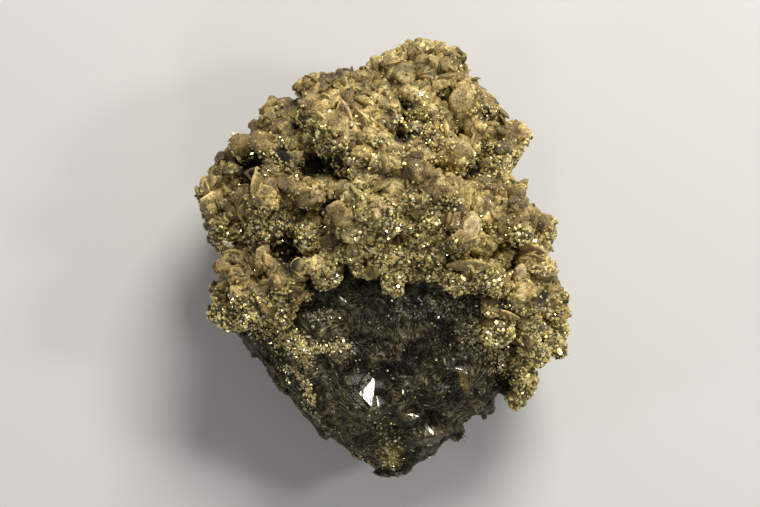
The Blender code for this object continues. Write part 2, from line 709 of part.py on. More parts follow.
def plate_places(envelope_mesh, dice):
    """Places and outward directions for the block's plates, spread over its bare faces by area."""
    faces = [
        face
        for face in envelope_mesh.polygons
        if face.normal.z > PLATES_LOWEST_FACING
        and (face.center.y < PLATES_END_Y * MM or face.center.z < PLATES_LOW_Z * MM)
    ]
    areas = [face.area for face in faces]
    places = []
    while len(places) < PLATE_COUNT:
        face = dice.choices(faces, areas)[0]
        corners = [envelope_mesh.vertices[index].co for index in face.vertices]
        shares = [dice.random() for _ in corners]
        place = sum((corner * share for corner, share in zip(corners, shares)), Vector()) / sum(shares)
        far_enough = all((place - other).length > PLATE_SPACING * MM for other, _ in places)
        if far_enough or dice.random() < CROWDED_PLATES:
            places.append((place, face.normal.copy()))
    return places


def grain_way(place, outward):
    """The way that the block's plates run at a place: along the left edge, and in a swirl over the front."""
    if outward.x < LEFT_FACING and place.y < LEFT_START_Y * MM:
        way = Vector(LEFT_GRAIN)
    else:
        from_swirl = place - millimetres(*SWIRL_MIDDLE)
        way = Vector((-from_swirl.y, from_swirl.x, 0.0))
    way -= outward * way.dot(outward)
    return way.normalized()


def plate_cluster(envelope_mesh, dice):
    """Flat broken plates that lie on the block like scales, each tipped a little out of its face."""
    shape = bmesh.new()
    for place, outward in plate_places(envelope_mesh, dice):
        along = grain_way(place, outward)
        facing = Matrix((along, outward.cross(along), outward)).transposed().to_4x4()
        turn = Matrix.Rotation(math.radians(dice.uniform(-PLATE_TURN, PLATE_TURN)), 4, "Z")
        tip = Matrix.Rotation(math.radians(dice.uniform(*PLATE_TIP)), 4, "X")
        long = dice.uniform(*PLATE_RADII)
        wide = long * dice.uniform(*PLATE_SLIMNESS)
        sized = Matrix.Diagonal((*millimetres(long, wide, PLATE_THICKNESS), 1.0))
        depth = dice.uniform(*PLATE_SUNK) * SKIN + PLATE_THICKNESS / 2
        sunk = Matrix.Translation(place - outward * depth * MM)
        plate = bmesh.new()
        bmesh.ops.create_cone(
            plate,
            cap_ends=True,
            segments=dice.choice((5, 6, 7)),
            radius1=1.0,
            radius2=PLATE_BEVEL,
            depth=1.0,
            matrix=sunk @ facing @ turn @ tip @ sized,
        )
        roughen(plate, PLATE_WAVE, PLATE_WAVE_GRAIN)
        absorb(shape, plate)
    return shape


def shell_break(front, x, y, depth, across, along):
    """A ball that scoops a shell-shaped break out of the wedge's front."""
    hit, _, _, _ = front.ray_cast(millimetres(x, y, 100), Vector((0, 0, -1)))
    high = BREAK_ROUNDNESS * min(across, along)
    flat = math.sqrt(1.0 - (1.0 - depth / high) ** 2)
    shape = bmesh.new()
    add_ball(shape, (x, y, hit.z / MM + high - depth), (across / flat, along / flat, high))
    return shape


def largest_body(mesh):
    """Deletes every loose chip that the cuts left, and keeps the biggest body."""
    shape = bmesh.new()
    shape.from_mesh(mesh)
    left = set(shape.verts)
    bodies = []
    while left:
        found = {left.pop()}
        edge = list(found)
        while edge:
            near = {link.other_vert(point) for point in edge for link in point.link_edges}
            edge = list(near - found)
            found |= near
        left -= found
        bodies.append(found)
    bodies.sort(key=len, reverse=True)
    for chip in bodies[1:]:
        bmesh.ops.delete(shape, geom=list(chip), context="VERTS")
    shape.to_mesh(mesh)
    shape.free()
    return mesh


def part_touching_folds(mesh):
    """Moves points inwards where two folds of the surface meet, so that each edge has two faces."""
    shape = bmesh.new()
    shape.from_mesh(mesh)
    shape.normal_update()
    places = {}
    for point in shape.verts:
        cell = tuple(round(value / (TOUCHING * MM)) for value in point.co)
        places.setdefault(cell, []).append(point)
    for together in places.values():
        if len(together) > 1:
            for point in together:
                point.co -= point.normal * PARTING * TOUCHING * MM
    shape.to_mesh(mesh)
    shape.free()
    return mesh


def grow_together(shape, name, triangles, cutters):
    """One mesh around overlapping closed shapes, with few triangles where it is flat."""
    shapes = helper(name + "_shapes", shape, cutters)
    merge = shapes.modifiers.new("Grow together", "REMESH")
    merge.mode = "VOXEL"
    merge.voxel_size = VOXEL * MM
    fine = finished_mesh(shapes, name + "_fine")
    work = bpy.data.objects.new(name + "_work", fine)
    cutters.objects.link(work)
    work.hide_render = True
    work.display_type = "WIRE"
    fewer = work.modifiers.new("Flat faces", "DECIMATE")
    fine.calc_loop_triangles()
    fewer.ratio = triangles / len(fine.loop_triangles)
    return work


def finished_piece(name, work, pieces, finish):
    """The object for a node, made from the mesh of its helper."""
    mesh = part_touching_folds(largest_body(finished_mesh(work, name)))
    mesh.materials.append(finish)
    made = bpy.data.objects.new(name, mesh)
    pieces.objects.link(made)
    return made


def make_matrix(pieces, cutters, dice):
    """The dark pyrite block: sound solids with broken plates on them, cut to their outer limit."""
    envelope, *others = block_solids("block_envelope", cutters)
    for other in others:
        boolean(envelope, other, "UNION")
    envelope_mesh = finished_mesh(envelope, "block_envelope")
    shape = bmesh.new()
    for corners, middle in ((SLAB_CORNERS, SLAB_MIDDLE), (WEDGE_CORNERS, WEDGE_MIDDLE)):
        sound = bmesh.new()
        add_hull(sound, sound_corners(corners, middle))
        absorb(shape, sound)
    absorb(shape, fragment_shape())
    absorb(shape, plate_cluster(envelope_mesh, dice))
    block = grow_together(shape, "block", BLOCK_TRIANGLES, cutters)
    # Plates end flush with the envelope, where the EXACT solver leaves open edges.
    boolean(block, envelope, "INTERSECT", "MANIFOLD")
    front = BVHTree.FromPolygons(
        [point.co for point in envelope_mesh.vertices],
        [face.vertices for face in envelope_mesh.polygons],
    )
    for spot in SHELL_BREAKS:
        boolean(block, helper("shell_break", shell_break(front, *spot), cutters), "DIFFERENCE", "MANIFOLD")
    finish = material("dark pyrite", (0.035, 0.031, 0.022), 0.38, 0.65)
    return finished_piece("pyrite_matrix", block, pieces, finish)


def make_crust(pieces, cutters, dice):
    """The siderite crust: lumps and lens crystals grown together, less its hollows and the block's seat."""
    crust = grow_together(crust_shape(dice), "crust", CRUST_TRIANGLES, cutters)
    # Fine folds of the crust touch each other, and there the EXACT solver loses most of the mesh.
    boolean(crust, helper("hollows", hollow_cutter(), cutters), "DIFFERENCE", "MANIFOLD")
    for solid in block_solids("block_seat", cutters, SEAT_GAP):
        boolean(crust, solid, "DIFFERENCE", "MANIFOLD")
    finish = material("siderite", (0.30, 0.235, 0.115), 0.62, 0.0)
    return finished_piece("siderite_crust", crust, pieces, finish)


def stand_over_origin(pieces):
    """Moves the pieces together until the middle of their box is over the origin."""
    for axis in range(2):
        places = [point.co[axis] for piece in pieces for point in piece.data.vertices]
        middle = (min(places) + max(places)) / 2
        for piece in pieces:
            for point in piece.data.vertices:
                point.co[axis] -= middle


def main():
    noise.seed_set(NOISE_SEED)
    for old in list(bpy.data.objects):
        bpy.data.objects.remove(old, do_unlink=True)
    pieces = bpy.data.collections.new("siderite_on_pyrite")
    cutters = bpy.data.collections.new("cutters")
    for collection in (pieces, cutters):
        bpy.context.scene.collection.children.link(collection)
    matrix = make_matrix(pieces, cutters, random.Random(BLOCK_SEED))
    crust = make_crust(pieces, cutters, random.Random(CRUST_SEED))
    stand_over_origin((matrix, crust))


main()
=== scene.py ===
"""Siderite on pyrite: the looks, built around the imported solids.

The specimen lies on its back, so the camera looks straight down on its front.
Places read from the photograph are measured from its middle, +X right and +Y up in its frame.
Sizes and places in the values below are millimetres and angles are degrees, but for the studio's.
"""

import math

import bmesh
import bpy
import numpy as np
from mathutils import Matrix, Vector
from mathutils.bvhtree import BVHTree
from mathutils.kdtree import KDTree


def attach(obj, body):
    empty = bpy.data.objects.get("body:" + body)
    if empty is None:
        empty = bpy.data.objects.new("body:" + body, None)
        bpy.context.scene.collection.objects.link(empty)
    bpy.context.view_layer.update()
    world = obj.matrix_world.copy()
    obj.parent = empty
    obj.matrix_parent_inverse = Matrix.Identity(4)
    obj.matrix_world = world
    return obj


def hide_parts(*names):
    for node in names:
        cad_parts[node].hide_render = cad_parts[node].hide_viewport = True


MM = 0.001
BODY = "root"
SQUARE = np.array([(0, 0), (1, 0), (1, 1), (0, 1)], dtype=float)

# Rays sent at the front: where from and which way
ABOVE = 100.0
DOWN = Vector((0.0, 0.0, -1.0))

# Seeds of the random numbers, one for each maker
TINT_SEED = 21
CRUST_SEED = 3
CRYSTAL_SEED = 8
PROMINENT_SEED = 15
DRUSE_SEED = 30
TRAIL_SEED = 33
BLOCK_SEED = 4
SPLINTER_SEED = 40

# Fine surfaces: the size of their faces, how close a cover lies, and the rings of faces left under its edge
CRUST_VOXEL = 0.6
MATRIX_VOXEL = 0.5
COVER_REACH = 1.5
COVER_RINGS = 5

# Relief as overlapping domes: spacing, slimness, tilt, doming, lift, and the share that is used
CRUST_RELIEF = [
    (4.4, 0.8, 0.25, 0.11, 0.6, 1.0),
    (2.4, 0.5, 0.45, 0.2, 0.35, 0.9),
    (1.2, 0.7, 0.4, 0.45, 0.2, 0.4),
]
BLOCK_PLATES = (5.6, 1.4, 0.26, 0.05, 0.7, -0.8)
BLOCK_SCALES = [
    (2.6, 0.35, 0.3, 0.12, 0.25, -0.5),
    (1.3, 0.3, 0.3, 0.25, 0.15, 0.22),
]
CRUST_RISE = 0.3
CREASE_SHADE_DEPTH = 0.3
EDGE_HEIGHT = 0.13
FOOT_HEIGHT = 2.5

# A lens: the radius and height of each of its rings of points, and its back
LENS_RINGS = [(0.55, 0.86), (0.85, 0.5), (1.0, 0.0)]
LENS_BACK = -0.8

# Lens crystals: their radii, and their widths and depths as shares of a radius
CRYSTAL_COUNT = 2000
CRYSTAL_RADII = (1.2, 3.5)
CRYSTAL_WIDTHS = (0.6, 0.95)
CRYSTAL_DEPTHS = (0.24, 0.4)
CRYSTAL_SPACING = 1.5
CRYSTAL_LEAN = (15, 70)
CRYSTAL_SEGMENTS = 12
PROMINENT_SEGMENTS = 28
PROMINENT_DEPTH = 0.28

# Growth bands: their width on the surface, how many for each millimetre of a small lens, how many in all
# on a prominent one, and the range that they start in
BAND_WIDTH = 0.3
CRYSTAL_BANDS = 2.6
PROMINENT_BANDS = 8.0
BAND_STARTS = (0.0, 50.0)

# Druse grains: how many, their sizes, how many of a hundred are cubes, and how far they stand out
GRAIN_COUNT = 32000
GRAIN_SIZES = (0.28, 0.75)
TRAIL_GRAIN_SPREAD = 0.3
CUBES_IN_HUNDRED = 55
GRAIN_RISE = 0.15

# Thin curved splinters on the block
SPLINTER_COUNT = 2200
SPLINTER_LENGTHS = (1.2, 4.6)
SPLINTER_WIDTHS = (0.05, 0.12)
SPLINTER_RIDGE = 0.09
SPLINTER_SIDES = -0.1

# How far off the middles of the block's ripples lie, and its left side, where the plates run straight down
RIPPLE_RADII = (1.5, 8.0)
LEFT_FACING = -0.3
LEFT_START = -10.0
LEFT_ACROSS = (0.69, 0.72, 0.15)
LEFT_REACH = 40.0

# Siderite from dark to pale, and the tints of the prominent crystals
BROWN = np.array((0.19, 0.128, 0.044))
TAN = np.array((0.41, 0.31, 0.115))
PALE = np.array((0.62, 0.50, 0.225))
CRYSTAL_TINTS = {
    "pale": (0.62, 0.48, 0.26),
    "tan": (0.42, 0.32, 0.13),
    "brown": (0.27, 0.195, 0.08),
    "gold": (0.50, 0.36, 0.10),
    "pink": (0.52, 0.38, 0.24),
    "white": (0.85, 0.82, 0.74),
}

# Druse grains: the tint, the roughness and the odds of each look
GRAIN_LOOKS = [
    ((0.72, 0.6, 0.24), 0.4, 0.28),
    ((0.95, 0.84, 0.42), 0.24, 0.3),
    ((0.5, 0.4, 0.15), 0.48, 0.16),
    ((0.14, 0.11, 0.05), 0.45, 0.12),
    ((1.0, 0.93, 0.64), 0.18, 0.14),
]

# Splinters: their darkest tint, and what the brightest have more
SPLINTER_DARK = np.array((0.025, 0.022, 0.015))
SPLINTER_BRIGHT = np.array((0.42, 0.38, 0.26))

# Prominent lens crystals: x, y, rise, longer radius, shorter radius, turn, lean, tone
PROMINENT_CRYSTALS = [
    (21.6, 8.6, 0.9, 3.8, 2.3, 80, 20, "pale"),
    (19.2, 40.6, 0.8, 3.6, 2.8, 80, 22, "tan"),
    (-8.5, 37.2, 1.2, 3.6, 1.4, -69, 52, "pale"),
    (-5.0, 34.8, 0.9, 4.2, 2.0, -68, 50, "brown"),
    (-13.6, 40.8, 1.0, 2.0, 1.4, -50, 40, "tan"),
    (34.0, -2.3, 1.0, 2.9, 1.7, 75, 24, "pink"),
    (39.4, -10.4, 1.0, 1.6, 1.0, -40, 30, "white"),
    (-38.2, 5.0, 1.2, 1.7, 0.7, -24, 20, "white"),
    (-29.4, 3.0, 1.0, 2.6, 1.9, 60, 34, "pale"),
    (-18.4, 17.4, 0.8, 3.4, 2.2, -8, 40, "tan"),
    (-30.8, 19.2, 0.9, 4.9, 2.0, 88, 44, "tan"),
    (-28.2, 17.4, 0.9, 2.6, 2.4, 0, 12, "tan"),
    (-10.8, 13.5, 0.9, 2.6, 2.4, 0, 24, "tan"),
    (21.2, -0.2, 0.8, 5.9, 2.2, 0, 50, "tan"),
    (30.0, -12.4, 0.9, 4.0, 2.0, -12, 48, "tan"),
    (-36.6, 2.8, 0.6, 3.0, 1.6, 0, 50, "tan"),
    (16.0, 43.4, 0.8, 2.8, 1.9, 60, 42, "gold"),
    (37.0, 3.6, 0.8, 3.4, 2.0, -10, 52, "brown"),
    (37.2, 1.6, 0.6, 3.2, 1.8, -10, 52, "brown"),
    (18.4, 27.5, 0.5, 4.0, 3.7, 0, 16, "tan"),
]

# Where druse covers the crust or stays off it: x, y, radius along, radius across, turn, strength
DRUSE_PATCHES = [
    (-14.0, 30.0, 9.5, 3.0, -50, 0.9),
    (-7.0, 23.8, 4.0, 2.6, -20, 0.8),
    (-24.0, 25.5, 3.4, 3.6, 0, 0.9),
    (-40.0, 8.5, 2.4, 2.2, 0, 0.8),
    (-34.5, 8.2, 3.0, 2.4, 0, 0.8),
    (-24.0, 8.5, 10.0, 5.8, 0, 0.8),
    (8.0, 32.5, 8.5, 7.5, 0, 0.5),
    (26.0, 37.0, 2.6, 2.8, 0, 0.7),
    (29.0, 27.5, 3.4, 2.2, 0, 0.7),
    (27.5, 25.0, 3.8, 5.5, 0, 0.7),
    (34.5, 7.0, 7.5, 2.4, -8, 0.8),
    (31.5, 18.5, 2.8, 2.2, 0, 0.6),
    (8.0, 11.0, 10.0, 8.5, 0, 0.35),
    (-2.0, 0.0, 18.0, 5.0, 0, 0.9),
    (3.0, -7.0, 2.6, 3.8, 0, 1.0),
    (21.5, -3.8, 7.5, 2.8, 0, 0.8),
    (28.0, -6.5, 3.4, 2.8, 0, 1.0),
    (29.0, -16.5, 5.0, 3.2, 0, 1.0),
    (41.0, -17.0, 6.0, 6.5, 0, 0.8),
    (36.0, -26.5, 4.0, 7.5, 0, 0.7),
    (-33.5, -11.5, 10.0, 3.8, 0, 1.0),
    (4.0, 24.5, 8.0, 3.0, -25, -0.8),
    (17.0, 19.5, 9.0, 3.0, -15, -0.6),
    (4.0, 15.5, 6.5, 4.0, 0, -0.3),
    (-37.5, 12.5, 5.0, 3.4, 0, -0.8),
    (-28.5, 18.0, 4.5, 4.5, 0, -0.8),
    (12.5, 49.0, 8.5, 5.0, 0, -1.0),
    (2.5, 46.5, 6.0, 3.6, 0, -0.9),
    (19.0, 40.6, 3.8, 4.4, 0, -1.0),
    (21.6, 8.8, 3.2, 4.8, 0, -1.0),
    (-13.0, 38.5, 6.5, 4.0, -20, -0.8),
    (-33.0, 31.0, 6.5, 3.2, 42, -0.8),
    (-40.5, 19.0, 4.5, 6.0, 0, -0.6),
    (-19.0, -0.8, 9.5, 2.2, 22, -1.0),
    (-34.5, -2.5, 7.0, 4.5, 0, -0.7),
    (35.0, -6.8, 4.5, 3.8, -20, -0.7),
    (42.0, -8.0, 3.0, 5.0, 0, -0.4),
    (33.0, 12.2, 8.5, 2.6, -18, -0.9),
    (29.0, 33.4, 7.0, 2.4, 0, -0.8),
]

# The dark mouths between the lumps, painted near-black as shade: x, y, half width, half height, turn
DARK_MOUTHS = [
    (-32.4, 23.8, 3.6, 4.2, 0),
    (-24.4, 27.0, 2.4, 2.6, 0),
    (-14.6, 24.2, 6.2, 2.8, 0),
    (-12.8, 14.2, 3.4, 1.4, 40),
    (-23.2, 2.6, 3.6, 5.2, 20),
    (16.5, 42.0, 1.6, 1.8, 0),
    (5.0, 31.0, 2.6, 1.6, 0),
    (22.0, 23.5, 2.2, 1.6, 0),
    (33.6, 4.6, 2.6, 1.2, -10),
    (-21.0, 35.0, 1.6, 1.6, 0),
    (25.5, 37.0, 2.0, 1.6, 0),
    (30.0, -10.0, 2.6, 1.2, 0),
    (40.0, -7.5, 1.6, 1.6, 0),
    (6.5, 39.0, 1.6, 1.4, 0),
]

# Trails and scatters of druse on the bare block: the points along each, its width, its grains, their greyness
DRUSE_TRAILS = [
    ([(-27, -13), (-23, -17), (-19.5, -20.5), (-18.5, -24)], 3.0, 560, 0.1),
    ([(-19, -21), (-13, -20.5), (-8, -20)], 2.2, 220, 0.3),
    ([(-35, -14), (-27, -17), (-20, -22)], 4.0, 480, 0.1),
    ([(24, -14), (28, -20), (31, -27)], 4.0, 340, 0.2),
    ([(-23.5, -25), (-20, -28), (-18, -31), (-18, -35)], 1.7, 180, 0.2),
    ([(-18, -13), (-12, -12.5)], 2.6, 80, 0.6),
    ([(3, -10), (10, -11), (16, -9.5)], 4.0, 130, 0.9),
    ([(16, -9), (20, -11), (25, -12)], 3.4, 130, 0.8),
    ([(20, -17), (24, -20), (28, -23)], 4.0, 160, 0.6),
    ([(27, -13), (30, -20), (33, -26)], 3.0, 240, 0.4),
    ([(-29, -20), (-20, -34), (-9, -47), (-2, -53)], 3.0, 120, 0.1),
    ([(-16, -22), (2, -24), (22, -22)], 22.0, 70, 0.4),
    ([(-8, -41), (10, -44)], 9.0, 60, 0.2),
]

# Gold stains on the block: x, y, half width, half height, turn, and the grains on the one near its tip
GOLD_STAINS = [
    (2.4, -48.2, 2.6, 2.6, 20),
    (20.4, -29.2, 0.9, 2.6, 15),
    (25.5, -14.0, 2.6, 1.2, 0),
]
GOLD_GRAINS = ([(1.6, -46.6), (3.2, -49.8)], 3.2, 160, 0.0)

# Facets that flash in the key light: their corners, how high they lie over the surface, how deep they go,
# and how far the surface may be moved to lie along them
FLASHING_FACETS = [
    [(-1.7, -27.2), (-1.8, -31.0), (-2.6, -34.9), (-4.1, -33.4), (-5.7, -31.7), (-3.7, -30.2), (-2.6, -28.8)],
    [(-1.2, -32.4), (-0.5, -35.0), (-0.9, -35.0)],
    [(-10.6, -7.6), (-8.9, -8.8), (-8.6, -9.4), (-9.8, -8.7)],
    [(10.2, -38.9), (11.3, -39.7), (13.3, -42.2), (12.8, -42.5), (11.0, -40.8)],
    [(5.2, -30.8), (5.6, -31.8), (5.2, -32.0)],
    [(6.2, -37.1), (7.6, -36.9), (9.2, -37.7), (7.6, -37.6)],
    [(18.2, -25.5), (19.2, -25.6), (20.0, -26.1), (19.0, -25.9)],
    [(19.2, -9.7), (20.4, -9.9), (20.3, -10.3), (19.2, -10.1)],
]
FACET_RISE = 0.1
FACET_DEPTH = 1.2
FACET_SEATING = 3.0

# The studio, in metres but for the film: the camera, the width of what it sees and at what height, the floor
CAMERA_AT = (-0.0004, 0.00275, 0.9)
FILM_WIDTH = 36.0
SEEN_WIDTH = 0.19
SEEN_HEIGHT = 0.028
FLOOR_REACH = 2.0
FLOOR_HEIGHT = -0.0002
LIT_SPOT = Vector((0.0, 0.0, 0.03))
KEY_LIGHT_AT = (0.28, 0.74, 0.66)

# Soft round lights: name, place, size in metres, watts, colour
LIGHTS = [
    ("key_light", KEY_LIGHT_AT, 0.5, 10.5, (1.0, 0.97, 0.92)),
    ("right_light", (0.7, 0.1, 0.55), 0.14, 1.7, (1.0, 0.98, 0.95)),
    ("left_light", (-0.75, -0.1, 0.5), 0.14, 0.5, (1.0, 0.98, 0.95)),
    ("low_light", (0.1, -0.75, 0.6), 0.14, 0.7, (1.0, 0.98, 0.95)),
]
WORLD_COLOUR = (1.0, 0.985, 0.96, 1.0)
WORLD_STRENGTH = 0.18


# Small tools for shapes


def millimetres(*values):
    return Vector(values) * MM


def unit(vectors):
    return vectors / np.maximum(np.linalg.norm(vectors, axis=-1, keepdims=True), 1e-12)


def put_in_scene(name, data):
    made = bpy.data.objects.new(name, data)
    bpy.context.scene.collection.objects.link(made)
    return made


def add_mesh(name, points, corners, made_of, smooth=True):
    """A piece from arrays of points and of faces that all have the same number of corners."""
    mesh = bpy.data.meshes.new(name)
    mesh.vertices.add(len(points))
    mesh.vertices.foreach_set("co", np.asarray(points, dtype=np.float32).ravel())
    mesh.loops.add(corners.size)
    mesh.loops.foreach_set("vertex_index", np.asarray(corners, dtype=np.int32).ravel())
    mesh.polygons.add(len(corners))
    mesh.polygons.foreach_set("loop_start", np.arange(0, corners.size, corners.shape[1], dtype=np.int32))
    mesh.polygons.foreach_set("use_smooth", np.full(len(corners), smooth))
    mesh.update(calc_edges=True)
    mesh.materials.append(made_of)
    return put_in_scene(name, mesh)


def give_values(piece, name, values):
    """A number for each point, which the piece's material reads."""
    kept = piece.data.attributes.new(name, "FLOAT", "POINT")
    kept.data.foreach_set("value", np.asarray(values, dtype=np.float32).ravel())


def give_vectors(piece, name, values):
    """Three numbers for each point, a colour or a place, which the piece's material reads."""
    kept = piece.data.attributes.new(name, "FLOAT_VECTOR", "POINT")
    kept.data.foreach_set("vector", np.asarray(values, dtype=np.float32).ravel())


def give_cells(piece, *groups):
    """A UV map with one cell of a square grid for each copy, from the corners' places in a cell."""
    side = math.ceil(math.sqrt(sum(count for _, count in groups)))
    placed = []
    start = 0
    for in_cell, count in groups:
        numbers = np.arange(start, start + count)
        cells = np.stack([numbers % side, numbers // side], axis=1)
        placed.append(((cells[:, None, :] + 0.1 + 0.8 * in_cell[None]) / side).reshape(-1))
        start += count
    layer = piece.data.uv_layers.new(name="OFBake")
    layer.data.foreach_set("uv", np.concatenate(placed).astype(np.float32))


def slanted(template, corners):
    """A template's face corners seen from aslant, so that no face is edge on, from 0 to 1 each way."""
    seen = np.stack([template[:, 0] + 0.37 * template[:, 2], template[:, 1] - 0.29 * template[:, 2]], axis=1)
    seen = (seen - seen.min(axis=0)) / (seen.max(axis=0) - seen.min(axis=0))
    return seen[corners].reshape(-1, 2)


def split(faces):
    """Quads as triangles."""
    return np.concatenate([faces[:, [0, 1, 2]], faces[:, [0, 2, 3]]])


def point_normals(points, quads):
    """Outward directions at the points, from the faces around each."""
    across = np.cross(points[quads[:, 2]] - points[quads[:, 0]], points[quads[:, 3]] - points[quads[:, 1]])
    normals = np.zeros_like(points)
    for corner in range(4):
        np.add.at(normals, quads[:, corner], across)
    return unit(normals)


def neighbours(quads, count):
    """Each point's neighbours as rows of one length, filled up with the point itself."""
    pairs = np.concatenate([quads[:, [0, 1]], quads[:, [1, 2]], quads[:, [2, 3]], quads[:, [3, 0]]])
    pairs = np.concatenate([pairs, pairs[:, ::-1]]).astype(np.int64)
    codes = np.unique(pairs[:, 0] * count + pairs[:, 1])
    here = codes // count
    first = np.searchsorted(here, np.arange(count))
    rank = np.arange(len(codes)) - first[here]
    near = np.repeat(np.arange(count)[:, None], rank.max() + 1, axis=1)
    near[here, rank] = codes % count
    return near


def eased(values, near, rounds, pull=0.6):
    """The values after rounds of averaging with their neighbours."""
    for _ in range(rounds):
        values = values + pull * (values[near].mean(axis=1) - values)
    return values


def fine_surface(node, voxel):
    """The points and quads of a fine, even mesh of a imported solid."""
    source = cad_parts[node]
    copy = put_in_scene("fine_copy", source.data.copy())
    copy.matrix_world = source.matrix_world
    weld = bmesh.new()
    weld.from_mesh(copy.data)
    bmesh.ops.remove_doubles(weld, verts=weld.verts[:], dist=1e-6)
    weld.to_mesh(copy.data)
    weld.free()
    remesh = copy.modifiers.new("Fine", "REMESH")
    remesh.mode = "VOXEL"
    remesh.voxel_size = voxel * MM
    graph = bpy.context.evaluated_depsgraph_get()
    mesh = bpy.data.meshes.new_from_object(copy.evaluated_get(graph))
    points = np.empty(len(mesh.vertices) * 3, dtype=np.float32)
    mesh.vertices.foreach_get("co", points)
    quads = np.empty(len(mesh.loops), dtype=np.int32)
    mesh.loops.foreach_get("vertex_index", quads)
    bpy.data.objects.remove(copy, do_unlink=True)
    bpy.data.meshes.remove(mesh)
    return points.reshape(-1, 3).astype(float), quads.reshape(-1, 4)


def tree_of(points, quads):
    """A surface in a form that rays can be sent at."""
    return BVHTree.FromPolygons(points.tolist(), quads.tolist())


def without_covered(quads, points, normals, near, other):
    """The quads that another solid doesn't cover closely, some rings under its edge, and their points."""
    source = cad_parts[other].data
    faces = [face.vertices for face in source.polygons]
    cover = BVHTree.FromPolygons([point.co for point in source.vertices], faces)
    hidden = np.array([cover.ray_cast(*ray, COVER_REACH * MM)[0] is not None for ray in zip(points, normals)])
    for _ in range(COVER_RINGS):
        hidden = hidden & hidden[near].all(axis=1)
    kept = quads[~hidden[quads].all(axis=1)]
    used = np.unique(kept)
    renumbered = np.zeros(len(points), dtype=np.int32)
    renumbered[used] = np.arange(len(used))
    return renumbered[kept], used


def bare_surface(node, voxel, rounds, other):
    """A solid's fine surface, eased, without what another solid covers: points, quads and directions."""
    points, quads = fine_surface(node, voxel)
    near = neighbours(quads, len(points))
    points = eased(points, near, rounds)
    normals = point_normals(points, quads)
    quads, used = without_covered(quads, points, normals, near, other)
    return points[used], quads, normals[used]


def waves(places, size, dice, count=28):
    """Smooth noise around 0, mostly from -1 to 1, with features of the given size, as a sum of waves."""
    ways = unit(dice.normal(size=(count, 3))) * (dice.uniform(0.6, 1.5, count) * math.tau / size)[:, None]
    phases = dice.uniform(0.0, math.tau, count)
    return np.sin(places @ ways.T + phases).sum(axis=1) / math.sqrt(count)


def spaced(points, spacing, dice, most=None):
    """Indices of points in random order, at most one in each cube of the given size, and most in all."""
    cells = set()
    kept = []
    cubes = np.floor(points / (spacing * MM)).astype(int)
    for index in dice.permutation(len(points)):
        cube = tuple(cubes[index])
        if cube not in cells:
            cells.add(cube)
            kept.append(index)
            if len(kept) == most:
                break
    return np.array(kept)


def nearest(seeds, points, count):
    """The indices of each point's nearest seeds."""
    tree = KDTree(len(seeds))
    for index, seed in enumerate(seeds):
        tree.insert(seed, index)
    tree.balance()
    return np.array([[index for _, index, _ in tree.find_n(point, count)] for point in points])


def domes(points, seeds, ways, slimness, tilt, doming, lift, dice, near=6):
    """How far out each point lies on the highest of the tilted domes near it, and which dome that is."""
    found = nearest(seeds, points, near)
    apart = points[:, None, :] - seeds[found]
    along = (apart * ways[found]).sum(axis=-1)
    square = (apart**2).sum(axis=-1) + (slimness**2 - 1.0) * along**2
    tilts = dice.normal(0.0, tilt, (len(seeds), 3))[found]
    lifts = dice.uniform(-lift, lift, len(seeds))[found] * MM
    heights = lifts + (apart * tilts).sum(axis=-1) - doming * square / MM
    top = heights.argmax(axis=1)
    rows = np.arange(len(points))
    return heights[rows, top], found[rows, top]


def random_ways(count, dice):
    """Random directions."""
    return unit(dice.normal(size=(count, 3)))


def random_turns(count, dice):
    """Random rotation matrices."""
    w, x, y, z = unit(dice.normal(size=(count, 4))).T
    rows = [
        [1 - 2 * (y * y + z * z), 2 * (x * y - z * w), 2 * (x * z + y * w)],
        [2 * (x * y + z * w), 1 - 2 * (x * x + z * z), 2 * (y * z - x * w)],
        [2 * (x * z - y * w), 2 * (y * z + x * w), 1 - 2 * (x * x + y * y)],
    ]
    return np.array(rows).transpose(2, 0, 1)


def leaning_turns(outward, ways, lean, dice):
    """Matrices whose Z leans away from each outward direction by an angle, and whose X runs across that."""
    aside = unit(np.cross(outward, ways))
    leaned = np.cos(lean)[:, None] * outward + np.sin(lean)[:, None] * aside
    across = unit(np.cross(leaned, outward + 0.5 * random_ways(len(outward), dice)))
    return np.stack([across, np.cross(leaned, across), leaned], axis=2)


def joined(copies, corners):
    """One array of points and one of faces for copies that share a template's faces."""
    count, each = copies.shape[:2]
    shifted = corners[None] + (np.arange(count) * each)[:, None, None]
    return copies.reshape(-1, 3), shifted.reshape(-1, corners.shape[1])


def within(points, x, y, along, across, turn):
    """How far each point is from an ellipse's middle, with 1 at its edge."""
    c = math.cos(math.radians(turn))
    s = math.sin(math.radians(turn))
    u = ((points[:, 0] / MM - x) * c + (points[:, 1] / MM - y) * s) / along
    v = ((points[:, 1] / MM - y) * c - (points[:, 0] / MM - x) * s) / across
    return np.sqrt(u * u + v * v)


# Where things grow


def druse_share(points, normals, hollow, dice):
    """How thickly druse grows at each point, from 0 to 1: on lower sides, in hollows and in the patches."""
    front = np.clip(normals[:, 2] + 0.2, 0.0, 1.0)
    share = 0.3 - 0.5 * normals[:, 1] + 1.3 * hollow
    for *ellipse, strength in DRUSE_PATCHES:
        share += strength * (0.3 + 0.7 * front) * np.exp(-(within(points, *ellipse) ** 3))
    share += 0.2 * waves(points, 6.0 * MM, dice) + 0.25 * waves(points, 2.0 * MM, dice)
    return np.clip(share, 0.12, 1.0)


def mouth_shade(points):
    """How deep each point is in the named dark mouths, from 0 to 1, which sets its painted shade."""
    shade = np.zeros(len(points))
    for ellipse in DARK_MOUTHS:
        shade = np.maximum(shade, np.clip(1.6 - 1.1 * within(points, *ellipse), 0.0, 1.0))
    return shade


# Templates


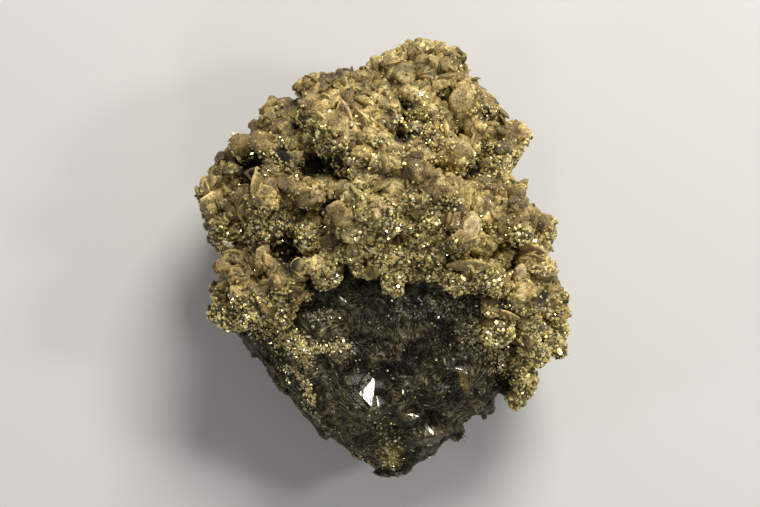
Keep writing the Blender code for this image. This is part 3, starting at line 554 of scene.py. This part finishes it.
def lens_template(segments):
    """A lens crystal: a crowned broad face, a sharp rim and a shallower back."""
    points = [(0.0, 0.0, 1.0)]
    for radius, height in LENS_RINGS:
        for step in range(segments):
            angle = math.tau * step / segments
            points.append((radius * math.cos(angle), radius * math.sin(angle), height))
    points.append((0.0, 0.0, LENS_BACK))
    last = len(points) - 1
    corners = []
    for step in range(segments):
        after = (step + 1) % segments
        corners.append((0, 1 + step, 1 + after))
        for ring in range(len(LENS_RINGS) - 1):
            inner = 1 + ring * segments
            outer = inner + segments
            corners.append((inner + step, outer + step, outer + after))
            corners.append((inner + step, outer + after, inner + after))
        base = last - segments
        corners.append((base + step, last, base + after))
    return np.array(points), np.array(corners)


def painted_rim_light_and_shade(template):
    """How pale each point of a lens is: its thin rim paler as painted light through it, its crown darker, and
    its back darker as painted shade.
    """
    return np.where(template[:, 2] < 0.0, 0.7, 0.76 + 0.9 * np.hypot(template[:, 0], template[:, 1]) ** 6)


def rounded_lozenge(angles, power):
    """The radius at each angle of an outline that is a lozenge at power 1 and a circle at power 2."""
    return (np.abs(np.cos(angles)) ** power + np.abs(np.sin(angles)) ** power) ** (-1.0 / power)


def growth(template, bands_across, radius, dice):
    """How many growth bands out each point of each lens lies, from a random start."""
    reach = np.hypot(template[:, 0], template[:, 1])
    return bands_across * reach * radius[:, None] + dice.uniform(*BAND_STARTS, (len(radius), 1))


def as_triangles(shape):
    """The points and triangles of a shape, which is freed."""
    bmesh.ops.triangulate(shape, faces=shape.faces[:])
    shape.verts.index_update()
    points = np.array([point.co[:] for point in shape.verts])
    corners = np.array([[point.index for point in face.verts] for face in shape.faces])
    shape.free()
    return points, corners


def cube_template():
    shape = bmesh.new()
    bmesh.ops.create_cube(shape, size=1.0)
    return as_triangles(shape)


def octahedron_template():
    points = 0.72 * np.concatenate([np.eye(3), -np.eye(3)])
    corners = []
    for x in (0, 3):
        for y in (1, 4):
            for z in (2, 5):
                inside_out = ((x == 3) + (y == 4) + (z == 5)) % 2
                corners.append((x, z, y) if inside_out else (x, y, z))
    return points, np.array(corners)


# Materials


def new_material(name, colour, roughness, metallic=0.0):
    made = bpy.data.materials.new(name)
    made.use_nodes = True
    surface = made.node_tree.nodes["Principled BSDF"]
    surface.inputs["Base Color"].default_value = (*colour, 1.0)
    surface.inputs["Roughness"].default_value = roughness
    surface.inputs["Metallic"].default_value = metallic
    return made, surface


def wire(made, start, end):
    made.node_tree.links.new(start, end)


def read_values(made, name, output="Fac"):
    node = made.node_tree.nodes.new("ShaderNodeAttribute")
    node.attribute_name = name
    return node.outputs[output]


def object_places(made):
    return made.node_tree.nodes.new("ShaderNodeTexCoord").outputs["Object"]


def noise(made, places, scale, detail=4.0, roughness=0.6, dimensions="3D"):
    """Noise over places, or along a single value, where it makes bands."""
    node = made.node_tree.nodes.new("ShaderNodeTexNoise")
    node.noise_dimensions = dimensions
    node.inputs["Scale"].default_value = scale
    node.inputs["Detail"].default_value = detail
    node.inputs["Roughness"].default_value = roughness
    wire(made, places, node.inputs["W" if dimensions == "1D" else "Vector"])
    return node.outputs["Fac"]


def ramp(made, value, *stops):
    """A colour ramp with its stops as (place, colour)."""
    node = made.node_tree.nodes.new("ShaderNodeValToRGB")
    colours = node.color_ramp.elements
    while len(colours) < len(stops):
        colours.new(0.5)
    for element, (place, colour) in zip(colours, stops):
        element.position = place
        element.color = (*colour, 1.0)
    wire(made, value, node.inputs["Fac"])
    return node.outputs["Color"]


def mixed(made, share, first, second, way="MIX"):
    """Two colours mixed by a share. Each may be a number, a colour or an output."""
    node = made.node_tree.nodes.new("ShaderNodeMix")
    node.data_type = "RGBA"
    node.blend_type = way
    for socket, value in zip((node.inputs[0], node.inputs[6], node.inputs[7]), (share, first, second)):
        if isinstance(value, float):
            socket.default_value = value
        elif isinstance(value, tuple):
            socket.default_value = (*value, 1.0)
        else:
            wire(made, value, socket)
    return node.outputs[2]


def ranged(made, value, low, high, to_low, to_high):
    node = made.node_tree.nodes.new("ShaderNodeMapRange")
    for name, number in (("From Min", low), ("From Max", high), ("To Min", to_low), ("To Max", to_high)):
        node.inputs[name].default_value = number
    wire(made, value, node.inputs["Value"])
    return node.outputs["Result"]


def bump(made, height, strength, distance):
    node = made.node_tree.nodes.new("ShaderNodeBump")
    node.inputs["Strength"].default_value = strength
    node.inputs["Distance"].default_value = distance * MM
    wire(made, height, node.inputs["Height"])
    return node.outputs["Normal"]


def siderite_material(name, druse=False):
    """Mottled siderite in each point's own tint, faintly banded, with painted glints, dark pyrite where druse
    covers it, and painted shade between its grains and in the hollows.
    """
    made, surface = new_material(name, (0.36, 0.27, 0.12), 0.5)
    places = object_places(made)
    patches = noise(made, places, 330, 5.0, 0.65)
    flecks = noise(made, places, 1500, 4.0, 0.7)
    sparks = noise(made, places, 2600, 1.0, 0.5)
    zones = noise(made, read_values(made, "growth"), 1.0, 1.0, 0.5, "1D")
    colour = read_values(made, "tint", "Color")
    for value, *stops in (
        (patches, (0.34, (0.66, 0.63, 0.57)), (0.5, (0.97, 0.97, 0.95)), (0.66, (1.24, 1.24, 1.22))),
        (flecks, (0.38, (0.52, 0.48, 0.4)), (0.5, (1.0, 1.0, 0.98)), (0.62, (1.4, 1.38, 1.3))),
        (zones, (0.36, (0.84, 0.81, 0.76)), (0.5, (1.0, 1.0, 1.0)), (0.62, (1.12, 1.11, 1.08))),
    ):
        colour = mixed(made, 1.0, colour, ramp(made, value, *stops), "MULTIPLY")
    # Painted glints: pale gold specks of pyrite, added bright to the colour as sparkle.
    glints = ramp(made, sparks, (0.66, (0.0, 0.0, 0.0)), (0.71, (0.42, 0.37, 0.19)))
    colour = mixed(made, 1.0, colour, glints, "ADD")
    dullness = ranged(made, flecks, 0.3, 0.7, 0.3, 0.52)
    if druse:
        cover = ranged(made, read_values(made, "druse"), 0.3, 0.8, 0.0, 0.92)
        # Dark pyrite between the druse grains, darkened further as painted shade between them.
        druse_gaps_and_shade = ramp(made, flecks, (0.44, (0.012, 0.01, 0.005)), (0.62, (0.26, 0.21, 0.09)))
        colour = mixed(made, cover, colour, druse_gaps_and_shade)
        # Painted shade: hollows and dark mouths turn near-black and rough.
        shade = ranged(made, read_values(made, "shade"), 0.1, 0.8, 0.0, 0.95)
        colour = mixed(made, shade, colour, (0.008, 0.007, 0.005))
        dullness = mixed(made, shade, dullness, (0.95, 0.95, 0.95))
    wire(made, colour, surface.inputs["Base Color"])
    wire(made, dullness, surface.inputs["Roughness"])
    wire(made, bump(made, flecks, 0.75, 0.4), surface.inputs["Normal"])
    return made


def matrix_material():
    """Dark massive pyrite with ripples that follow each broken plate, pale sharp edges and gold stains."""
    made, surface = new_material("massive_pyrite", (0.03, 0.027, 0.02), 0.35, 0.35)
    surface.inputs["Specular IOR Level"].default_value = 0.35
    ripples = noise(made, read_values(made, "ripple", "Vector"), 1.0, 4.0, 0.65)
    places = object_places(made)
    stains = noise(made, places, 150, 4.0, 0.6)
    specks = noise(made, places, 2200, 2.0, 0.6)
    stops = ((0.45, (0.004, 0.0036, 0.0022)), (0.55, (0.014, 0.0125, 0.007)), (0.65, (0.12, 0.108, 0.064)))
    dark = ramp(made, ripples, *stops)
    stops = ((0.42, (0.016, 0.013, 0.006)), (0.51, (0.062, 0.052, 0.024)), (0.62, (0.25, 0.22, 0.12)))
    brown = ramp(made, ripples, *stops)
    share = mixed(made, 0.35, read_values(made, "brown"), ranged(made, stains, 0.4, 0.65, 0.0, 1.0))
    colour = mixed(made, share, dark, brown)
    edges = ranged(made, read_values(made, "ridge"), 0.2, 0.9, 0.0, 0.8)
    colour = mixed(made, edges, colour, (0.19, 0.17, 0.11))
    stops = ((0.28, (0.28, 0.27, 0.23)), (0.52, (0.85, 0.85, 0.83)), (0.76, (2.1, 2.0, 1.8)))
    plates = ramp(made, read_values(made, "plate"), *stops)
    colour = mixed(made, 1.0, colour, plates, "MULTIPLY")
    # Painted glints: sparse pale specks of pyrite, added bright to the colour as sparkle.
    glints = ramp(made, specks, (0.60, (0.0, 0.0, 0.0)), (0.72, (0.10, 0.088, 0.05)))
    colour = mixed(made, 1.0, colour, glints, "ADD")
    gold = ramp(made, specks, (0.38, (0.12, 0.07, 0.018)), (0.6, (0.46, 0.33, 0.09)))
    colour = mixed(made, read_values(made, "gold"), colour, gold)
    wire(made, colour, surface.inputs["Base Color"])
    wire(made, ranged(made, ripples, 0.3, 0.7, 0.16, 0.42), surface.inputs["Roughness"])
    wire(made, bump(made, ripples, 0.6, 0.4), surface.inputs["Normal"])
    return made


def metal_material(name):
    """Pyrite in each point's own tint and roughness, a little uneven."""
    made, surface = new_material(name, (0.6, 0.47, 0.2), 0.25, 0.55)
    unevenness = noise(made, object_places(made), 1500, 2.0, 0.6)
    shades = ramp(made, unevenness, (0.35, (0.8, 0.78, 0.72)), (0.65, (1.4, 1.4, 1.38)))
    colour = mixed(made, 1.0, read_values(made, "tint", "Color"), shades, "MULTIPLY")
    wire(made, colour, surface.inputs["Base Color"])
    wire(made, read_values(made, "dullness"), surface.inputs["Roughness"])
    return made


def facet_material():
    """A smooth pyrite face with fine straight streaks."""
    made, surface = new_material("facet_pyrite", (0.4, 0.37, 0.28), 0.34, 0.9)
    surface.inputs["Specular IOR Level"].default_value = 0.1
    streaks = noise(made, read_values(made, "streak", "Vector"), 1.0, 3.0, 0.6)
    stops = ((0.38, (0.003, 0.003, 0.002)), (0.46, (0.2, 0.18, 0.14)), (0.52, (0.7, 0.67, 0.56)))
    wire(made, ramp(made, streaks, *stops), surface.inputs["Base Color"])
    wire(made, bump(made, streaks, 0.8, 0.2), surface.inputs["Normal"])
    return made


# The siderite crust


def crust_tint(points):
    """Tan, brown and paler siderite in soft areas, browner and darker towards the left side as painted shade.
    """
    dice = np.random.default_rng(TINT_SEED)
    areas = 0.5 + 0.45 * waves(points, 14.0 * MM, dice) + 0.25 * waves(points, 4.0 * MM, dice)
    # Painted shade: the tint is pushed darker, towards brown, on the left side.
    areas = areas - 0.35 * np.clip(-(points[:, 0] / MM + 14.0) / 16.0, 0.0, 1.0)
    areas = np.clip(areas, 0.0, 1.0)[:, None]
    darker = BROWN + (TAN - BROWN) * areas * 2.0
    lighter = TAN + (PALE - TAN) * (areas * 2.0 - 1.0)
    return np.where(areas < 0.5, darker, lighter)


def make_crust():
    """The siderite's surface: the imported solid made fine, with overlapping lens faces raised on it."""
    dice = np.random.default_rng(CRUST_SEED)
    points, quads, normals = bare_surface("siderite_crust", CRUST_VOXEL, 4, "pyrite_matrix")
    near = neighbours(quads, len(points))
    hollow = np.clip(((eased(points, near, 50, 0.8) - points) * normals).sum(axis=1) / (2.0 * MM), 0.0, 1.0)
    height = 0.05 * MM * waves(points, 1.4 * MM, dice)
    for spacing, *form, share in CRUST_RELIEF:
        seeds = points[spaced(points, spacing, dice)]
        ways = random_ways(len(seeds), dice)
        height = height + share * domes(points, seeds, ways, *form, dice, near=5)[0]
    points = points + normals * (height + CRUST_RISE * MM)[:, None]
    normals = point_normals(points, quads)
    share = druse_share(points, normals, hollow, dice)
    # Painted shade: points deep in hollows and in the dark mouths get a share that turns their colour
    # near-black.
    shade = np.clip(1.2 * hollow**1.5, 0.0, 1.0)
    shade = np.maximum(mouth_shade(points) * (normals[:, 2] > -0.2), shade)
    # Painted shade and highlight: the tint darkens in creases and pales on ridges.
    painted_crease_shade = ((eased(points, near, 3) - points) * normals).sum(axis=1) / (CREASE_SHADE_DEPTH * MM)
    crust = add_mesh("siderite_surface", points, quads, siderite_material("siderite_body", druse=True))
    give_vectors(crust, "tint", crust_tint(points) * np.clip(0.95 - painted_crease_shade, 0.2, 1.45)[:, None])
    give_values(crust, "growth", height / (BAND_WIDTH * MM))
    give_values(crust, "druse", share)
    give_values(crust, "shade", shade)
    give_cells(crust, (SQUARE, len(quads)))
    return crust, points, quads, normals, share, shade


def make_crystals(points, normals, share, shade):
    """Crisp lens crystals that grow out of the crust and through each other."""
    dice = np.random.default_rng(CRYSTAL_SEED)
    bare = np.flatnonzero((dice.random(len(points)) > share**0.7) & (shade < 0.3))
    picked = bare[spaced(points[bare], CRYSTAL_SPACING, dice, CRYSTAL_COUNT)]
    count = len(picked)
    lean = np.radians(dice.uniform(*CRYSTAL_LEAN, count))
    ways = np.stack([waves(points[picked], 9.0 * MM, dice) for _ in range(3)], axis=1)
    turns = leaning_turns(normals[picked], ways + 0.35 * random_ways(count, dice), lean, dice)
    radius = CRYSTAL_RADII[0] + (CRYSTAL_RADII[1] - CRYSTAL_RADII[0]) * dice.random(count) ** 1.8
    wide = radius * dice.uniform(*CRYSTAL_WIDTHS, count)
    sizes = np.stack([radius, wide, radius * dice.uniform(*CRYSTAL_DEPTHS, count)], axis=1)
    template, corners = lens_template(CRYSTAL_SEGMENTS)
    angles = np.arctan2(template[:, 1], template[:, 0])
    pointed = rounded_lozenge(angles, dice.uniform(1.2, 2.1, (count, 1)))
    copies = np.repeat(template[None], count, axis=0)
    copies[:, :, :2] *= (pointed * (1.0 + dice.normal(0.0, 0.07, pointed.shape)))[:, :, None]
    copies[:, :, 2] += dice.uniform(-0.6, 0.6, (count, 1)) * (copies[:, :, 0] ** 2 - copies[:, :, 1] ** 2)
    sunk = points[picked] - normals[picked] * (radius * (0.05 + 0.45 * np.sin(lean)) * MM)[:, None]
    copies = np.einsum("nij,nkj->nki", turns, copies * (sizes * MM)[:, None, :]) + sunk[:, None, :]
    places, faces = joined(copies, corners)
    crystals = add_mesh("siderite_crystals", places, faces, siderite_material("siderite_crystals"))
    tint = crust_tint(points[picked]) * dice.uniform(0.92, 1.22, (count, 1))
    # Painted shade: each crystal darkens towards its root in the crust, on top of the painted rim light and
    # back shade.
    rise = np.einsum("nij,nj->ni", copies - points[picked][:, None, :], normals[picked]) / MM
    painted_light_and_shade = painted_rim_light_and_shade(template) * np.clip(0.6 + 0.4 * rise, 0.42, 1.15)
    give_vectors(crystals, "tint", tint[:, None, :] * painted_light_and_shade[:, :, None])
    give_values(crystals, "growth", growth(template, CRYSTAL_BANDS, radius, dice))
    give_cells(crystals, (slanted(template, corners), count))
    return crystals


def make_prominent_crystals(front):
    """The lens crystals that stand out in the photograph, each at its place."""
    dice = np.random.default_rng(PROMINENT_SEED)
    template, corners = lens_template(PROMINENT_SEGMENTS)
    angles = np.arctan2(template[:, 1], template[:, 0])
    places, faces, tint = [], [], []
    for x, y, rise, long, wide, turn, lean, tone in PROMINENT_CRYSTALS:
        hit = front.ray_cast(millimetres(x, y, ABOVE), DOWN)[0]
        turn = math.radians(turn)
        lean = math.radians(lean)
        edge_way = Vector((math.cos(turn), math.sin(turn), 0.0))
        turned = Matrix.Rotation(lean, 3, edge_way) @ Matrix.Rotation(turn, 3, "Z")
        phases = dice.uniform(0, math.tau, 2)
        wobble = 1.0 + 0.05 * np.sin(3 * angles + phases[0]) + 0.03 * np.sin(8 * angles + phases[1])
        shape = template * np.array((long, wide, PROMINENT_DEPTH * wide)) * MM
        shape[:, :2] *= (wobble * rounded_lozenge(angles, 1.6))[:, None]
        middle = hit + millimetres(0, 0, rise - 0.5 - 0.5 * wide * math.sin(lean))
        faces.append(corners + len(template) * len(places))
        places.append(shape @ np.array(turned).T + np.array(middle))
        # Painted rim light and back shade, times the crystal's tint.
        tint.append(np.outer(painted_rim_light_and_shade(template), CRYSTAL_TINTS[tone]))
    made_of = siderite_material("prominent_siderite")
    crystals = add_mesh("prominent_crystals", np.concatenate(places), np.concatenate(faces), made_of)
    give_vectors(crystals, "tint", np.concatenate(tint))
    give_values(crystals, "growth", growth(template, PROMINENT_BANDS, np.ones(len(places)), dice))
    give_cells(crystals, (slanted(template, corners), len(places)))
    return crystals


# The druse


def grain_piece(name, places, outward, sizes, grey, made_of, dice):
    """One mesh of tiny pyrite crystals, cubes and octahedra, each in its own tint and gloss."""
    tints, dullness, odds = (np.array(each) for each in zip(*GRAIN_LOOKS))
    cubes = len(places) * CUBES_IN_HUNDRED // 100
    all_places, all_faces, groups, repeats = [], [], [], []
    start = 0
    for (template, corners), chosen in (
        (cube_template(), slice(0, cubes)),
        (octahedron_template(), slice(cubes, len(places))),
    ):
        count = len(places[chosen])
        size = sizes[chosen][:, None] * dice.uniform(0.75, 1.3, (count, 3)) * MM
        middles = places[chosen] + outward[chosen] * (GRAIN_RISE * sizes[chosen] * MM)[:, None]
        copies = np.einsum("nij,nkj->nki", random_turns(count, dice), template[None] * size[:, None, :])
        flat, faces = joined(copies + middles[:, None, :], corners)
        all_places.append(flat)
        all_faces.append(faces + start)
        start += len(flat)
        groups.append((slanted(template, corners), count))
        repeats.append(np.full(count, len(template)))
    piece = add_mesh(name, np.concatenate(all_places), np.concatenate(all_faces), made_of, smooth=False)
    tone = dice.choice(len(tints), len(places), p=odds)
    repeats = np.concatenate(repeats)
    tint = tints[tone]
    tint = tint + (0.45 * tint.mean(axis=1, keepdims=True) - tint) * grey[:, None]
    give_vectors(piece, "tint", np.repeat(tint, repeats, axis=0))
    give_values(piece, "dullness", np.repeat(dullness[tone], repeats))
    give_cells(piece, *groups)
    return piece


def make_druse(points, quads, share, shade, made_of):
    """Druse over the crust, in two pieces, thickest where its share is highest."""
    dice = np.random.default_rng(DRUSE_SEED)
    faces = split(quads)
    across = np.cross(points[faces[:, 1]] - points[faces[:, 0]], points[faces[:, 2]] - points[faces[:, 0]])
    thickness = share**1.5 * (1.0 - 0.6 * shade)
    odds = np.linalg.norm(across, axis=1) * thickness[faces].mean(axis=1)
    picked = dice.choice(len(faces), GRAIN_COUNT, p=odds / odds.sum())
    places = (points[faces[picked]] * dice.dirichlet((1, 1, 1), GRAIN_COUNT)[:, :, None]).sum(axis=1)
    outward = unit(across[picked])
    sizes = GRAIN_SIZES[0] + (GRAIN_SIZES[1] - GRAIN_SIZES[0]) * dice.random(GRAIN_COUNT) ** 1.3
    grey = np.zeros(GRAIN_COUNT)
    pieces = []
    for name, first in (("pyrite_druse_1", 0), ("pyrite_druse_2", 1)):
        halves = (each[first::2] for each in (places, outward, sizes, grey))
        pieces.append(grain_piece(name, *halves, made_of, dice))
    return pieces


def make_trails(front, made_of):
    """Druse that trails over the bare block, and the gold grains near its tip."""
    dice = np.random.default_rng(TRAIL_SEED)
    places, outward, grey = [], [], []
    for path, width, count, greyness in DRUSE_TRAILS + [GOLD_GRAINS]:
        path = np.array(path, dtype=float)
        for _ in range(count):
            along = dice.uniform(0, len(path) - 1)
            step = int(along)
            spot = path[step] + (path[step + 1] - path[step]) * (along - step)
            spot = spot + dice.normal(0, width * 0.4, 2)
            hit, normal, _, _ = front.ray_cast(millimetres(*spot, ABOVE), DOWN)
            if hit:
                places.append(hit)
                outward.append(normal)
                grey.append(greyness)
    sizes = GRAIN_SIZES[0] + TRAIL_GRAIN_SPREAD * dice.random(len(places)) ** 1.5
    mixed_up = dice.permutation(len(places))
    places, outward, grey = (np.array(each)[mixed_up] for each in (places, outward, grey))
    return grain_piece("pyrite_trails", places, outward, sizes, grey, made_of, dice)


# The block


def ripple_middles(seeds, normals, dice):
    """What each broken plate's ripples curve around: near it, or far off where the plates run straight."""
    aside = unit(np.cross(normals, random_ways(len(seeds), dice)))
    middles = seeds + aside * dice.uniform(*RIPPLE_RADII, (len(seeds), 1)) * MM
    left = (normals[:, 0] < LEFT_FACING) & (seeds[:, 1] < LEFT_START * MM)
    across = np.array(LEFT_ACROSS) + dice.normal(0, 0.12, (left.sum(), 3))
    middles[left] = seeds[left] + across * LEFT_REACH * MM
    return middles


def facet_planes(points, normals):
    """The middle of each flashing facet and the way it faces, halfway between key light and camera."""
    planes = []
    front = np.flatnonzero(normals[:, 2] > 0.2)
    for outline in FLASHING_FACETS:
        middle = np.mean(outline, axis=0) * MM
        closest = front[((points[front, :2] - middle) ** 2).sum(axis=1).argmin()]
        place = np.array((*middle, points[closest, 2]))
        outward = unit(np.array(KEY_LIGHT_AT) - place) + (0.0, 0.0, 1.0)
        planes.append((place, outward / outward[2]))
    return planes


def seated(points, normals, planes):
    """The points with the surface under and around each flashing facet laid along it."""
    for outline, (place, outward) in zip(FLASHING_FACETS, planes):
        reach = np.linalg.norm(np.array(outline) * MM - place[:2], axis=1).max()
        apart = points - place
        share = np.clip(2.0 - np.linalg.norm(apart[:, :2], axis=1) / reach, 0.0, 1.0) * (normals[:, 2] > 0.1)
        level = -apart[:, :2] @ outward[:2] - FACET_RISE * MM
        points[:, 2] += share * np.clip(level - apart[:, 2], -FACET_SEATING * MM, FACET_SEATING * MM)
    return points


def make_matrix():
    """The block's surface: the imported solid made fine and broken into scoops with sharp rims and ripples."""
    dice = np.random.default_rng(BLOCK_SEED)
    points, quads, normals = bare_surface("pyrite_matrix", MATRIX_VOXEL, 2, "siderite_crust")
    spacing, *form, share = BLOCK_PLATES
    picked = spaced(points, spacing, dice)
    middles = ripple_middles(points[picked], normals[picked], dice)
    ways = unit(middles - points[picked])
    scoops, plate = domes(points, points[picked], ways, *form, dice)
    height = share * scoops
    tone = 0.4 * dice.random(len(picked))[plate]
    for spacing, *form, share in BLOCK_SCALES:
        small = spaced(points, spacing, dice)
        along = np.cross(normals[small], points[small] - middles[plate[small]])
        along = unit(unit(along) + dice.normal(0, 0.25, along.shape))
        rises, scale = domes(points, points[small], along, *form, dice, near=5)
        height = height + share * rises
        tone = tone + 0.3 * dice.random(len(small))[scale]
    from_middle = np.linalg.norm(points - middles[plate], axis=1)
    height = height * np.clip(points[:, 2] / (FOOT_HEIGHT * MM), 0.0, 1.0)
    planes = facet_planes(points, normals)
    points = seated(points + normals * height[:, None], normals, planes)
    points[:, 2] = np.maximum(points[:, 2], 0.0)
    normals = point_normals(points, quads)
    round_points = eased(points, neighbours(quads, len(points)), 3)
    edges = ((points - round_points) * normals).sum(axis=1) / (EDGE_HEIGHT * MM)
    edges = np.clip(edges, 0.0, 1.0) * np.clip(0.55 + 0.6 * waves(points, 4.0 * MM, dice), 0.0, 1.0)
    matrix = add_mesh("matrix_surface", points, quads, matrix_material())
    give_values(matrix, "ridge", edges)
    give_values(matrix, "plate", tone)
    offsets = dice.uniform(0, 300, len(picked))[plate]
    from_middle = from_middle + 0.25 * MM * waves(points, 3.0 * MM, dice)
    stretched = (from_middle * 2.2 + offsets * MM, points[:, 0] * 0.5, (points[:, 1] + points[:, 2]) * 0.5)
    give_vectors(matrix, "ripple", np.stack(stretched, axis=1) / MM)
    low = np.clip(-34.0 - points[:, 1] / MM, 0.0, 4.0) / 4.0 + (normals[:, 0] < LEFT_FACING)
    give_values(matrix, "brown", np.clip(0.2 + 0.8 * low + 0.35 * waves(points, 16 * MM, dice), 0.0, 1.0))
    gold = np.zeros(len(points))
    for ellipse in GOLD_STAINS:
        gold = np.maximum(gold, np.clip(1.5 - within(points, *ellipse), 0.0, 1.0) * (normals[:, 2] > 0.2))
    give_values(matrix, "gold", 0.8 * gold)
    give_cells(matrix, (SQUARE, len(quads)))
    return matrix, points, quads, middles[plate], planes


def make_splinters(points, quads, middles):
    """Thin curved splinters that follow the plates' ripples."""
    dice = np.random.default_rng(SPLINTER_SEED)
    normals = point_normals(points, quads)
    picked = dice.choice(np.flatnonzero(normals[:, 2] > 0.3), SPLINTER_COUNT, replace=False)
    inward = middles[picked] - points[picked]
    inward -= normals[picked] * (inward * normals[picked]).sum(axis=1, keepdims=True)
    bend = np.maximum(np.linalg.norm(inward, axis=1), 1.5 * MM)
    inward = unit(unit(inward) + dice.normal(0, 0.15, inward.shape))
    along = np.cross(normals[picked], inward)
    shortest, longest = SPLINTER_LENGTHS
    length = (shortest + (longest - shortest) * dice.random(SPLINTER_COUNT) ** 2) * MM
    width = dice.uniform(*SPLINTER_WIDTHS, SPLINTER_COUNT) * MM
    stations = np.linspace(-1.0, 1.0, 5)
    copies = []
    for station in stations:
        run = station * length / 2.0
        middle = points[picked] + along * run[:, None] + inward * (run**2 / (2.0 * bend))[:, None]
        swell = 1.05 - station**2
        for side, lift in ((1.0, SPLINTER_SIDES), (0.0, SPLINTER_RIDGE), (-1.0, SPLINTER_SIDES)):
            off = inward * (side * width * swell)[:, None] + normals[picked] * (lift * swell**0.5 * MM)
            copies.append(middle + off)
    copies = np.stack(copies, axis=1)
    copies[:, :, 2] = np.maximum(copies[:, :, 2], 0.0)
    corners = []
    for first in range(0, 12, 3):
        for here in (first, first + 1):
            corners.append((here, here + 3, here + 4))
            corners.append((here, here + 4, here + 1))
    corners = np.array(corners)
    places, faces = joined(copies, corners)
    splinters = add_mesh("pyrite_splinters", places, faces, metal_material("splinter_pyrite"), smooth=False)
    bright = dice.random(SPLINTER_COUNT) ** 3
    tint = SPLINTER_DARK + bright[:, None] * SPLINTER_BRIGHT
    give_vectors(splinters, "tint", np.repeat(tint, copies.shape[1], axis=0))
    give_values(splinters, "dullness", np.repeat(0.42 - 0.22 * bright, copies.shape[1]))
    across = np.stack([np.repeat(stations, 3), np.tile((1.0, 0.0, -1.0), 5)], axis=1) / 2.0 + 0.5
    give_cells(splinters, (across[corners].reshape(-1, 2), SPLINTER_COUNT))
    return splinters


def make_flashing_facets(planes):
    """Smooth faces on the block that lie just so that they send the key light to the camera."""
    shape = bmesh.new()
    for outline, (place, outward) in zip(FLASHING_FACETS, planes):
        top = []
        for corner in outline:
            spot = np.array(corner) * MM
            level = place[2] - (spot - place[:2]) @ outward[:2] + FACET_RISE * MM
            top.append(shape.verts.new((*spot, level)))
        grown = bmesh.ops.extrude_face_region(shape, geom=[shape.faces.new(top)])
        for point in [each for each in grown["geom"] if isinstance(each, bmesh.types.BMVert)]:
            point.co.z -= FACET_DEPTH * MM
    bmesh.ops.recalc_face_normals(shape, faces=shape.faces[:])
    points, corners = as_triangles(shape)
    facets = add_mesh("flashing_facets", points, corners, facet_material(), smooth=False)
    give_vectors(facets, "streak", points / MM * (2.6, 0.3, 0.3))
    return facets


# Camera, floor and light


def make_camera():
    view = bpy.data.cameras.new("camera")
    view.sensor_width = FILM_WIDTH
    made = put_in_scene("camera", view)
    made.location = CAMERA_AT
    view.lens = FILM_WIDTH * (CAMERA_AT[2] - SEEN_HEIGHT) / SEEN_WIDTH
    view.clip_start = 0.01
    bpy.context.scene.camera = made


def soft_light(name, place, size, watts, colour):
    light = bpy.data.lights.new(name, "AREA")
    light.shape = "DISK"
    light.size = size
    light.energy = watts
    light.color = colour
    made = put_in_scene(name, light)
    made.location = place
    made.rotation_euler = (LIT_SPOT - Vector(place)).to_track_quat("-Z", "Y").to_euler()


def make_studio():
    """A plain pale floor and soft light: the key from beyond the specimen's top end, and weaker fills."""
    paper, _ = new_material("floor_paper", (0.74, 0.74, 0.73), 0.85)
    points = np.zeros((4, 3))
    points[:, :2] = (SQUARE * 2.0 - 1.0) * FLOOR_REACH
    floor = add_mesh("floor", points, np.array([[0, 1, 2, 3]]), paper)
    floor.location.z = FLOOR_HEIGHT
    for light in LIGHTS:
        soft_light(*light)
    world = bpy.data.worlds.new("studio")
    world.use_nodes = True
    background = world.node_tree.nodes["Background"]
    background.inputs["Color"].default_value = WORLD_COLOUR
    background.inputs["Strength"].default_value = WORLD_STRENGTH
    bpy.context.scene.world = world
    bpy.context.scene.view_settings.view_transform = "Standard"


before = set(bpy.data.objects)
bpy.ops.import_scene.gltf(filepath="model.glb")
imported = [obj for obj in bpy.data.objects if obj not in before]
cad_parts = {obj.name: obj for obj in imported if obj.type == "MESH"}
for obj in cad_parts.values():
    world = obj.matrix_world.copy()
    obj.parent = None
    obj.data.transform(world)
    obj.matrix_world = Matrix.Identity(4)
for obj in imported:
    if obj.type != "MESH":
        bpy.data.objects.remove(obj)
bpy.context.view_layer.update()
make_camera()
make_studio()

crust, crust_points, crust_quads, crust_normals, crust_share, crust_shade = make_crust()
matrix, matrix_points, matrix_quads, matrix_middles, planes = make_matrix()
crust_tree = tree_of(crust_points, crust_quads)
matrix_tree = tree_of(matrix_points, matrix_quads)
druse_pyrite = metal_material("druse_pyrite")
siderite_pieces = [
    crust,
    make_crystals(crust_points, crust_normals, crust_share, crust_shade),
    make_prominent_crystals(crust_tree),
]
block_pieces = [
    matrix,
    make_splinters(matrix_points, matrix_quads, matrix_middles),
    make_flashing_facets(planes),
]
druse_pieces = make_druse(crust_points, crust_quads, crust_share, crust_shade, druse_pyrite)
druse_pieces.append(make_trails(matrix_tree, druse_pyrite))

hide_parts("siderite_crust")
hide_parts("pyrite_matrix")
slots = (("siderite", siderite_pieces), ("massive_pyrite", block_pieces), ("pyrite_druse", druse_pieces))
for slot, pieces in slots:
    for piece in pieces:
        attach(piece, BODY)
